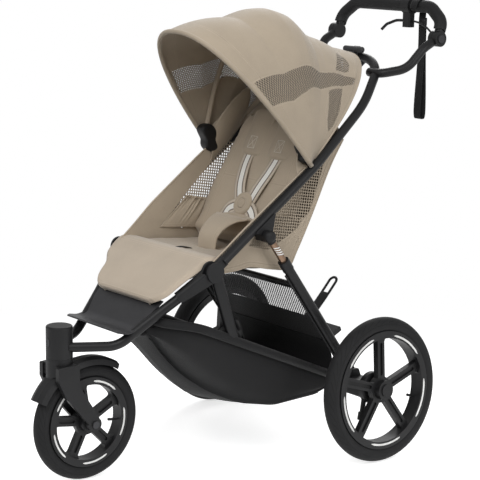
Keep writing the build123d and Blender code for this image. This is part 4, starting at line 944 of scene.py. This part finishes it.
def rest_shape(p):
    """Let the leg rest widen towards the knee."""
    x, d = rest_flat(p)
    limit = rest_limit(d) - 4
    wide = abs(x) * (1 + (limit / REST_HALF - 1) * ease((abs(x) - 60) / 60))
    return Vector((copysign(min(wide, limit) * MM, p.x), p.y, p.z))


BACK_UP = Vector((0, cos(radians(64)), sin(radians(64))))
BACK_OUT = Vector((0, -BACK_UP.z, BACK_UP.y))
BACK_FACE = 24.0


def on_back(x, along, off=0.0):
    """A point over the backrest's front face."""
    return RECLINE + Vector((x * MM, 0, 0)) + BACK_UP * along * MM + BACK_OUT * (BACK_FACE + off) * MM


def back_flat(p):
    return (p.x / MM, (p - RECLINE).dot(BACK_UP) / MM)


puffed("seat_cushion", "seat_pad", SEWN, "upper_frame", "seat_cloth", 5, seat_flat,
       [*pair((-150, -420), (-150, -190)), [(-150, -404), (150, -404)]])
puffed("leg_rest_cushion", "leg_rest", SEWN_PAD, "chassis", "leg_rest_cloth", 6, rest_flat,
       [[(-104, 7), (104, 7)], *pair((104, 7), (117, 18), (122, 34), (141, 100))], rest_shape)
puffed("backrest_cushion", "backrest", SEWN, "backrest", "seat_cloth", 6, back_flat,
       [*pair((122, 20), (118, 130), (100, 300)), [(-118, 150), (118, 150)]])


def back_cloth():
    """Cloth over the seat's back, drawn round the backrest's edges."""
    path = smooth_path(side_line((-174, 497), (-150, 503), (-132, 524), (-60, 650), (2, 760), (0, 772),
                                 (-20, 779), (-42, 782)), 8)

    def place(i, run, g):
        half = lerp(path[i].z / MM, (497, 540, 770, 790), (160, 158, 134, 128))
        curl = max(0.0, abs(g) - 0.9) / 0.1
        return Vector((g * half, -9 * curl ** 2 + 3.0 * (1 - g * g), 1.5 * curl ** 2)) * MM, g * half
    rows, flats, run = lengthwise(path, 60, place)
    obj = sewn("back_cloth", rows, flats, ("backrest", "seat_cloth", SEWN), MAIN,
               lines=[*pair((128, 0), (112, run)), [(-140, 120), (140, 120)]])
    sheet_area(rows)
    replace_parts(obj, "back_cover")
    for end, word in ((0, "right"), (-1, "left")):
        cord(f"back_{word}_piping", [row[end] for row in rows], 2.4, "backrest", "seat_cloth")


back_cloth()


# ---- harness ------------------------------------------------------------------------
WEBBING = 36


def strap(name, places, start, end):
    """Striped webbing over the backrest through (across, along, off) places; start and end, where it would
    blend, change nothing.
    """
    path = smooth_path([on_back(*place) for place in places], 12)
    across = [heading(path, i).cross(BACK_OUT).normalized() for i in range(len(path))]
    obj = ribbon(name, path, WEBBING, across)
    paint(obj, STRIPED)
    tuple(on_back(*start))
    tuple(on_back(*end))
    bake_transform(obj)
    return obj


PAD_LOW, PAD_HIGH, PAD_HALF, PAD_CORNER = 206, 328, 41, 15.0


def chest_pad(name, center_x):
    """A rounded, stuffed pad over the backrest with a crowned face."""
    def spot(f, k):
        g = -1 + 2 * k / 14
        along = PAD_LOW + (PAD_HIGH - PAD_LOW) * f
        near = min(along - PAD_LOW, PAD_HIGH - along)
        x = g * (PAD_HALF - corner_cut(near, PAD_CORNER))
        crown = (1 - abs(g) ** 3.5) * min(1.0, 0.35 + near / 9.0)
        return on_back(center_x + x, along, 3.0 + 8.0 * crown), (x, along)
    rows, flats = patch(24, 14, spot)
    edge = PAD_HALF - 3.5
    obj = sewn(name, rows, flats, ("backrest", "seat_cloth", SEWN), 3.0, -1.0,
               pair((edge, PAD_LOW + 5), (edge, PAD_HIGH - 5)))
    refine(obj)
    return obj


STITCHES = 9                 # on each side of the box


def cross_stitch(name, x, along, half_x, half_y, off):
    """A boxed cross of pale thread."""
    a, b, c, d = [on_back(x + u * half_x, along + v * half_y, off)
                  for u, v in ((-1, -1), (1, -1), (1, 1), (-1, 1))]
    strips = []
    for start, end in ((a, b), (b, c), (c, d), (d, a), (a, c), (b, d)):
        w = (end - start).normalized().cross(BACK_OUT).normalized() * 0.55 * MM
        for k in range(STITCHES):
            ends = [start.lerp(end, (k + f) / STITCHES) for f in (0.08, 0.92)]
            strips.append([(q - w, q + w) for q in ends])
    bands(name, strips, 0.7, "backrest", THREAD)


BUCKLE_SHELL = [(27, 0), (29.5, 2), (30, 6), (29, 10), (26.5, 12.4), (22, 13.2), (20.6, 13.0), (20, 12.6),
                (19.4, 13.0), (13.4, 13.3), (12.6, 12.8), (12.4, 11)]
BUCKLE_TOP = [(11.9, 9.5), (11.9, 13.0), (11.2, 13.8), (7.5, 14.2), (6.9, 13.8), (6.3, 14.2), (0.2, 14.4)]
# across, along the backrest and over it
SHOULDER_RUN = ((51, 318, 3), (51, 262, 3), (51, 214, 5.5), (47, 178, 10), (34, 132, 14), (21, 100, 11))
LAP_RUN = ((22, 80, 11), (42, 68, 13), (56, 46, 9), (72, 20, 4), (84, 6, 1))


def harness():
    for side, word in SIDES:
        pad = chest_pad(word + "_chest_pad", side * 49)
        cross_stitch(word + "_cross_stitch", side * 50, 240, 12, 15, 11.7)
        shoulder, lap = [[(side * x, along, off) for x, along, off in run] for run in (SHOULDER_RUN, LAP_RUN)]
        web = strap(word + "_shoulder_webbing", shoulder, shoulder[-1], (side * 51, 214, 5))
        strap(word + "_lap_webbing", lap, lap[0], lap[3])
        if side == 1:
            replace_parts(pad, "chest_pads")
            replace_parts(web, "harness_straps")
    for name, profile, body, node in (("buckle_cover", BUCKLE_SHELL, "upper_frame", "buckle_shell"),
                                      ("buckle_press_cover", BUCKLE_TOP, "buckle_button", "buckle_button")):
        obj = lathe(name, profile, on_back(0, 86, 5), BACK_OUT, ACROSS)
        dress(obj, body, "seat_cloth", SEWN_PLAIN)
        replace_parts(obj, node)


def crotch_pad():
    """Padded piece from the seat up to the buckle, widening into two wings."""
    path = smooth_path(side_line((-290, 480), (-289, 502), (-284, 527), (-262, 549), (-228, 563))
                       + [on_back(0, 60, 9), on_back(0, 76, 9)], 7)
    total = sum((b - a).length for a, b in zip(path, path[1:])) / MM

    def place(i, run, g):
        f = run / total
        half = lerp(f, (0, 0.25, 0.45, 0.6, 0.75, 0.9, 1.0), (33, 35, 40, 48, 58, 62, 50))
        t = heading(path, i)
        n = t.cross(ACROSS).normalized()
        if n.y > 0:
            n = -n
        droop = 10.0 * ease((f - 0.6) / 0.4) * g * g
        return (ACROSS * g * half + n * (3.5 * (1 - g ** 4) - droop * 0.5) - t * droop) * MM, g * half
    rows, flats, _ = lengthwise(path, 16, place)
    obj = sewn("crotch_pad", rows, flats, ("upper_frame", "seat_cloth", SEWN), 5.0, -1.0,
               pair((27, 0), (27, 70)))
    refine(obj)
    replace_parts(obj, "crotch_strap")


harness()
crotch_pad()


# ---- basket -------------------------------------------------------------------------
RAIL_UP = AXLE.z / MM + 4.0
RIM_MOST = 234               # the rim's height behind RIM_LEVEL_FROM
RIM_LEVEL_FROM = -60
NOSE_UP = 345                # height at which the basket closes in front
RAIL_SLOPE = tan(radians(23.4))
# back, half width at the rim, fall of the rim, half width at the seam, its height, height of the keel
BASKET_RIBS = [(-524, 84, 48, 78, 336, 330), (-504, 100, 36, 74, 323, 313), (-482, 134, 22, 62, 300, 289),
               (-455, 154, 16, 51, 271, 259), (-405, 163, 0, 58, 218, 203), (-350, 163, 0, 90, 176, 153),
               (-290, 163, 0, 132, 148, 129), (-200, 163, 0, 150, 131, 128), (-60, 163, 0, 148, 134, 128),
               (-18, 163, 0, 150, 148, 142)]
BASKET_FRONT, BASKET_BACK = -524, -18
SEAM_POINT = 24              # the point of a basket row that lies on the lower seam


def basket_row(back):
    """Half widths and heights across the basket at a distance back, evened over its neighbours."""
    heads, *columns = zip(*BASKET_RIBS)
    rim, drop, seam, low, keel = [sum(lerp(back + d, heads, column) for d in (-14, -7, 0, 7, 14)) / 5
                                  for column in columns]
    top = RAIL_UP - back * RAIL_SLOPE + 4 - drop
    if back > RIM_LEVEL_FROM:
        top = min(top, RIM_MOST)
    sag = 5.0 * sin(pi * min(1.0, max(0.0, (-back - 40) / 420)))
    wall = [(rim, top), (rim - 0.5 + sag * 0.3, top * 0.72 + low * 0.28),
            (rim * 0.7 + seam * 0.3, top * 0.3 + low * 0.7), (seam + 4, low + 11), (seam - 3, low + 1),
            (seam * 0.6, low * 0.55 + keel * 0.45 - 1), (0, keel)]
    half = smooth_path([Vector((x, 0, z)) for x, z in wall], 6)
    return half + [Vector((-p.x, 0, p.z)) for p in half[-2::-1]]


def basket_shell():
    rows = []
    flats = []
    for i in range(81):
        back = BASKET_BACK + (BASKET_FRONT - BASKET_BACK) * i / 80
        line = basket_row(back)
        rows.append([at(p.x, back, p.z) for p in line])
        run = 0.0
        for k, p in enumerate(line):
            run += (p - line[max(k - 1, 0)]).length
            flats.append((back, run))
    seam_line = [row[SEAM_POINT] for row in rows]
    rows.append([Vector((p.x * 0.03, p.y - MM, NOSE_UP * MM)) for p in rows[-1]])
    flats += [(BASKET_FRONT - 4, k * 4.0) for k in range(len(rows[0]))]
    obj = sewn("basket_shell", rows, flats, ("chassis", "basket_cloth"), HEAVY, 1.0)
    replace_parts(obj, "basket")
    for side, word in SIDES:
        line = [moved(p, side * (p.x / MM + 1.2)) for p in seam_line[6:78]]
        cord(f"basket_{word}_piping", line, 1.7, "chassis", "basket_cloth")
    dress(node_copy("basket_rail_sleeve", "basket_rail", 1.4 * MM), "chassis", "basket_cloth")


NET_SHARE = 0.48             # upper part of the rear panel that is open net
NET_HEM = 9


def rear_net():
    """Net panel that hangs in the plane of the rear legs, with a hem all round."""
    low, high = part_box("basket_rear_panel")
    top, foot = Vector((low.x, low.y, high.z)), Vector((low.x, high.y, low.z))
    wide, tall = (high.x - low.x) / MM, (top - foot).length / MM

    def spot(f, k):
        g = k / 60
        bow = Vector((g * wide, 4 * sin(pi * f) * sin(pi * g), 0)) * MM
        return top.lerp(foot, f) + bow, (g * wide, f * tall)
    rows, flats = patch(30, 60, spot)
    net_low = tall * NET_SHARE
    window = [(NET_HEM, NET_HEM), (wide - NET_HEM, NET_HEM), (wide - NET_HEM, net_low), (NET_HEM, net_low)]
    obj = sewn("rear_net", rows, flats, ("rear_legs", "basket_cloth", BLACK_NET), windows=[window])
    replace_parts(obj, "basket_rear_panel")


TAIL_HALF = 172
TAIL_BEND, TAIL_TAPER = 226, 50


def basket_tail():
    """Solid cloth from the basket's rear rim up to the panel behind it."""
    path = smooth_path(side_line((-62, 274), (-46, 250), (-36, 222), (-34, 190), (-38, 150)), 6)

    def place(i, run, g):
        narrow = 1 - 0.1 * ease((TAIL_BEND - path[i].z / MM) / TAIL_TAPER)
        return ACROSS * g * TAIL_HALF * MM * narrow, g * TAIL_HALF
    rows, flats, _ = lengthwise(path, 2 * TAIL_HALF // 8, place)
    obj = sewn("basket_tail", rows, flats, ("chassis", "basket_cloth"), MAIN)


def pull_loop():
    """Flat pull strap with a rounded, open end, which hangs out behind the basket."""
    low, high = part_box("basket_pull_loop")
    foot = Vector((0, low.y + 2 * MM, low.z + 2 * MM))
    run = Vector((0, high.y, high.z)) - foot
    length = run.length / MM
    run = run.normalized()

    def spot(x, u):
        bow = 5.0 * sin(pi * u / length)
        return foot + run * u * MM + Vector((x, bow * run.z, -bow * run.y)) * MM

    def bend(half):
        """The loop's outline, half its width out, with a round end."""
        side = [(-half, length - 50 + 35 * k / 8) for k in range(9)]
        turns = [pi * k / 16 for k in range(1, 16)]
        arc = [(-half * cos(a), length - 15 + half * sin(a)) for a in turns]
        return side + arc + [(-x, u) for x, u in reversed(side)]

    loop = [[spot(a[0] + (b[0] - a[0]) * f, a[1] + (b[1] - a[1]) * f) for a, b in zip(bend(15), bend(8.5))]
            for f in (0, 0.5, 1)]
    band = [[spot(x, (length - 49) * k / 12) for x in (-15, -8, 0, 8, 15)] for k in range(13)]
    for name, rows in (("pull_loop_end", loop), ("pull_loop_strap", band)):
        obj = grid_object(name, rows)
        thicken(obj, 3.6)
        modifier(obj, "BEVEL", width=0.9 * MM, segments=2)
        dress(obj, "chassis", "dark_plastic")
    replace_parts(obj, "basket_pull_loop")


basket_shell()
rear_net()
basket_tail()
pull_loop()


# ---- small parts --------------------------------------------------------------------
SPOKE_BAYS = 5
REAR_LEAN = radians(4)  # how far the rear wheels lean in at the top
VALVE = 24


def turned(angle):
    """A direction in the wheels' plane, turned up from straight back."""
    a = radians(angle)
    return Vector((0, cos(a), sin(a)))


def wheel_arcs(name, node, body, center, axis, radius, first, width, half_turn):
    """Reflective arcs on the rim's face, one in each bay between the spokes."""
    u = Vector((0, 1, 0))
    u = (u - axis * u.dot(axis)).normalized()
    v = axis.cross(u).normalized()
    if v.z < 0:
        v = -v
    steps = 22

    def on_rim(angle, r):
        p = center + (u * cos(angle) + v * sin(angle)) * r
        found, place, _, _ = frame["nodes"][node].ray_cast(p + axis * 0.08, -axis)
        return (place if found else p) + axis * 0.35 * MM

    def edges(bay, k):
        a = radians(first + 360 / SPOKE_BAYS * bay - half_turn + 2 * half_turn * k / steps)
        half = width * min(1.0, 0.35 + 0.65 * min(k, steps - k) / 2) / 2
        return on_rim(a, radius - half), on_rim(a, radius + half)
    bands(name, [[edges(bay, k) for k in range(steps + 1)] for bay in range(SPOKE_BAYS)], 0.5, body, WHITE)


def valve(name, body, base, direction):
    points = [base + direction * VALVE * MM * k / 6 for k in range(7)]
    cord(name, points, 2.2, body, "dark_plastic", 10)
    cord(name + "_cap", [*points[4:6], points[6] + direction * 3 * MM], 3.3, body, "dark_plastic", 10)


def wheel_place(node):
    """A rim's middle and half its height."""
    low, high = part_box(node)
    return (low + high) / 2, (high.y - low.y) / 2


def wheels():
    for side, word in SIDES:
        node, body = word + "_rear_rim", word + "_rear_wheel"
        center, reach = wheel_place(node)
        axis = Vector((side * cos(REAR_LEAN), 0, sin(REAR_LEAN)))
        wheel_arcs(word + "_rear_arcs", node, body, center, axis, reach * 0.925, 126, 4.6 * MM, 21)
        out = turned(-18)
        valve(word + "_rear_valve", body, center + out * reach * 0.90 - axis * 2 * MM, -out)
    center, reach = wheel_place("front_rim")
    for side, word in SIDES:
        wheel_arcs(f"front_{word}_arcs", "front_rim", "front_wheel", center, ACROSS * side, reach * 0.915, 63,
                   4.2 * MM, 20)
    out = turned(-8)
    valve("front_valve", "front_wheel", center + out * reach * 0.86, -out)


LEG_X, LEG_RADIUS = 200, 8.9
LEG_FOOT, LEG_HEAD = side_line((0, 190), (-268, 552))
STRIPES = 4
PIVOT_CAP = [(0.3, 13.5), (6, 13.5), (11, 12.6), (13.6, 10), (14.2, 6), (14.2, -7), (13, -8.5), (0.3, -8.5)]


def leg_marks():
    """Four slanted white stripes on the outside of each inner leg tube, and its black pivot cap."""
    along = (LEG_HEAD - LEG_FOOT).normalized()
    across = Vector((0, along.z, -along.y))
    for side, word in SIDES:
        def edges(k, angle):
            x = side * (LEG_X + LEG_RADIUS * cos(radians(angle)))
            off = across * LEG_RADIUS * MM * sin(radians(angle))
            return [moved(LEG_HEAD - along * (33 + 6.6 * k + edge + angle * 0.09) * MM + off, x)
                    for edge in (0.0, 3.4)]
        strips = [[edges(k, -58 + 14.5 * i) for i in range(9)] for k in range(STRIPES)]
        bands(word + "_leg_stripes", strips, 0.4, "leg_sliders", WHITE, smooth=True)
        head = LEG_HEAD + ACROSS * side * LEG_X * MM
        cap = lathe(word + "_leg_pivot_cap", PIVOT_CAP, head, ACROSS * side, Vector((0, 1, 0)), 40)
        dress(cap, "leg_sliders", "dark_plastic")
        cord(word + "_leg_neck", [head - along * d * MM for d in (6, 12, 16, 18)], 10.2, "leg_sliders",
             "dark_plastic", 20)


def wrist_loop():
    """Black webbing loop that hangs from the grip, folded double with a stitched end."""
    low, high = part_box("wrist_strap")
    x = (low.x + high.x) / 2
    grip = high.z - 20 * MM
    tip = low.z + 2 * MM

    def hang(across, back, z):
        return Vector((x + across * MM, high.y + back * MM, z))

    turns = [radians(-100 + 200 * k / 16) for k in range(17)]
    ring = [hang(0, -19 + 19 * sin(a), grip + 18.6 * MM * cos(a)) for a in turns]
    loop = [*ring[8:], hang(0, -6, grip - 25 * MM), hang(0, -6, grip - 120 * MM),
            hang(-3, -10, tip + 40 * MM), hang(-4, -8, tip + 6 * MM), hang(-3, -2, tip),
            hang(1, 3, tip + 8 * MM), hang(2, 2, tip + 60 * MM), hang(1, -2.5, grip - 110 * MM),
            hang(0, -2.5, grip - 28 * MM)]
    obj = ribbon("wrist_loop", smooth_path(loop, 8), 22, ACROSS, 1.8)
    dress(obj, "handlebar", "webbing")
    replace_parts(obj, "wrist_strap")
    dress(ribbon("wrist_ring", ring, 22, ACROSS, 1.8), "handlebar", "webbing")
    clip = lathe("wrist_keeper", [(3, -9), (6.2, -9), (6.2, 9), (3, 9)], hang(0, -4, grip - 36 * MM),
                 Vector((0, 0, 1)), ACROSS, 24)
    for v in clip.data.vertices:
        v.co.x = x + (v.co.x - x) * 2.1
    dress(clip, "handlebar", "dark_plastic")


def knee_flap():
    """Outer cover of the leg rest, one piece with the front of the seat."""
    over = [(-3, -12), (-4, 1)] + [(d, 4.5 + 3.5 * sin(pi * d / 130)) for d in (6, 24, 50, 80, 108)]
    profile = smooth_path([REST_LOW + (REST_DIR * d + REST_OUT * off) * MM for d, off in over]
                          + side_line((-412, 508.5), (-396, 511), (-374, 507.5)), 6)

    def place(i, run, g):
        near = rest_limit(min(run - 12, 128))
        x = g * (near if g > 0 else near + 28 * ease((run - 70) / 50))
        return ACROSS * x * MM - REST_OUT * 9.0 * ease((abs(g) - 0.90) / 0.10) ** 2 * MM, x
    rows, flats, run = lengthwise(profile, 100, place)
    obj = sewn("knee_flap", rows, flats, (None, "leg_rest_cloth", SEWN_PAD), HEAVY,
               lines=[[(-190, run - 42), (190, run - 42)], [(-150, 17), (150, 17)]])
    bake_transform(obj)
    sheet_area(rows)


def back_curtain():
    """Cloth from the backrest's top up to the canopy's rear."""
    profile = smooth_path(side_line((-50, 778), (-18, 806), (38, 857), (94, 900)), 8)
    last = len(profile) - 1

    def spot(f, k):
        half = lerp(3 * f, (0, 1, 2, 3), (146, 142, 122, 90))
        g = k / 16 - 1
        drop = Vector((half * g, 0, -4 * (1 - g ** 2) * sin(pi * f))) * MM
        return profile[round(f * last)] + drop, (half * g, 195 * f)
    rows, flats = patch(last, 32, spot)
    obj = sewn("back_curtain", rows, flats, (None, "canopy_cloth", SEWN), THIN,
               lines=[[(-140, 150), (140, 150)]])
    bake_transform(obj)
    sheet_area(rows)


STRIP_HALF = 160


def seat_rear_strip():
    """Cloth that closes the seat's back edge under the backrest."""
    profile = smooth_path(side_line((-236, 484), (-210, 483.5), (-184, 480), (-162, 489), (-150, 508)), 6)

    def place(i, run, g):
        return ACROSS * g * STRIP_HALF * MM, g * STRIP_HALF
    rows, flats, run = lengthwise(profile, 40, place)
    obj = sewn("seat_rear_strip", rows, flats, ("upper_frame", "seat_cloth", SEWN_PAD), MAIN,
               lines=[[(-STRIP_HALF, run * 0.55), (STRIP_HALF, run * 0.55)]])


def seat_strap():
    """Black pull strap that shows through a slit in the seat."""
    path = smooth_path([at(11, -404, 505), at(12, -392, 509.5), at(12, -372, 510), at(13, -352, 506),
                        at(13, -340, 501)], 8)
    widths = [4.5 + 4.5 * sin(pi * k / (len(path) - 1)) for k in range(len(path))]
    dress(ribbon("seat_pull_strap", path, widths, ACROSS), "upper_frame", "webbing")
    lip = [p + Vector((-7, 2, -1.5)) * MM for p in path]
    cord("seat_slit_lip", lip, 1.6, "upper_frame", "seat_cloth")


wheels()
leg_marks()
wrist_loop()
knee_flap()
back_curtain()
seat_rear_strip()
seat_strap()


# ---- camera, light and floor --------------------------------------------------------
CAMERA_AT = Vector((2.9008, AXLE.y - 2.5694, 1.2373))
AZIMUTH, ELEVATION, ROLL = radians(50.6046), radians(11.0736), radians(0.9505)
LENS = 119.85
MIDDLE = Vector((0, 0, 0.5))
FLOOR_HALF = 60.0
FLOOR_WHITE = 0.62           # what the floor adds to its own light, so that it shows white


def camera():
    back = Vector((sin(AZIMUTH) * cos(ELEVATION), -cos(AZIMUTH) * cos(ELEVATION),
                   sin(ELEVATION)))
    right = Vector((cos(AZIMUTH), sin(AZIMUTH), 0))
    up = back.cross(right)
    r = right * cos(ROLL) + up * sin(ROLL)
    u = up * cos(ROLL) - right * sin(ROLL)
    data = bpy.data.cameras.new("view")
    data.lens = LENS
    data.sensor_width = 36
    cam = new_object("view", data)
    cam.matrix_world = Matrix.Translation(CAMERA_AT) @ Matrix((r, u, back)).transposed().to_4x4()
    bpy.context.scene.camera = cam


def area_light(name, place, size, power):
    data = bpy.data.lights.new(name, "AREA")
    data.shape = "DISK"
    data.size = size
    data.energy = power
    obj = new_object(name, data)
    obj.location = place
    obj.rotation_euler = (MIDDLE - obj.location).to_track_quat("-Z", "Y").to_euler()


def white_to_camera(n, shade):
    """Plain white to the camera and in reflections, shaded only where the object's shadow lies."""
    path = n.add("LightPath").outputs
    seen = n.math("MAXIMUM", path["Is Camera Ray"],
                  n.math("MAXIMUM", path["Is Glossy Ray"], path["Is Transmission Ray"]))
    return n.times(seen, shade)


def floor():
    """Plain white floor that takes the object's soft shadow and fades to pure white."""
    size = FLOOR_HALF
    obj = mesh_object("floor", [(-size, -size, 0), (size, -size, 0), (size, size, 0), (-size, size, 0)],
                      [(0, 1, 2, 3)], smooth=False)
    n = Nodes("floor_pale")
    n.finish((0.9, 0.9, 0.9), n.plus(n.times(n.noise(3.0), 0.05), 0.9), Specular_IOR_Level=0.0,
             Emission_Color=(1, 1, 1), Emission_Strength=white_to_camera(n, FLOOR_WHITE))
    glow = n.add("Emission", {"Strength": white_to_camera(n, 1.0)})
    away = n.add("VectorMath", {0: n.coords()}, operation="LENGTH").outputs["Value"]
    fade = n.rise(away, 0.75, 1.5, interpolation_type="SMOOTHSTEP")
    mix = n.add("MixShader", {0: fade, 1: n.bsdf.outputs[0], 2: glow.outputs[0]})
    n.put(n.tree.nodes["Material Output"].inputs["Surface"], mix.outputs[0])
    paint(obj, n.mat)


def world():
    """White to the camera, and a softer white as light."""
    n = Nodes("studio", bpy.data.worlds)
    bpy.context.scene.world = n.mat
    path = n.add("LightPath").outputs
    seen = n.math("MAXIMUM", path["Is Camera Ray"], path["Is Transmission Ray"])
    light = n.add("MapRange", {"Value": seen, "To Min": 0.6, "To Max": 1.0}).outputs["Result"]
    background = n.tree.nodes["Background"].inputs
    n.put(background["Color"], (1, 1, 1))
    n.put(background["Strength"], light)


camera()
floor()
world()
area_light("key", (1.6, -3.0, 3.4), 2.2, 72)
area_light("fill", (3.6, 0.4, 1.8), 2.4, 42)
area_light("rim_light", (-2.2, 2.6, 2.6), 1.8, 40)
bpy.context.scene.view_settings.view_transform = "Standard"
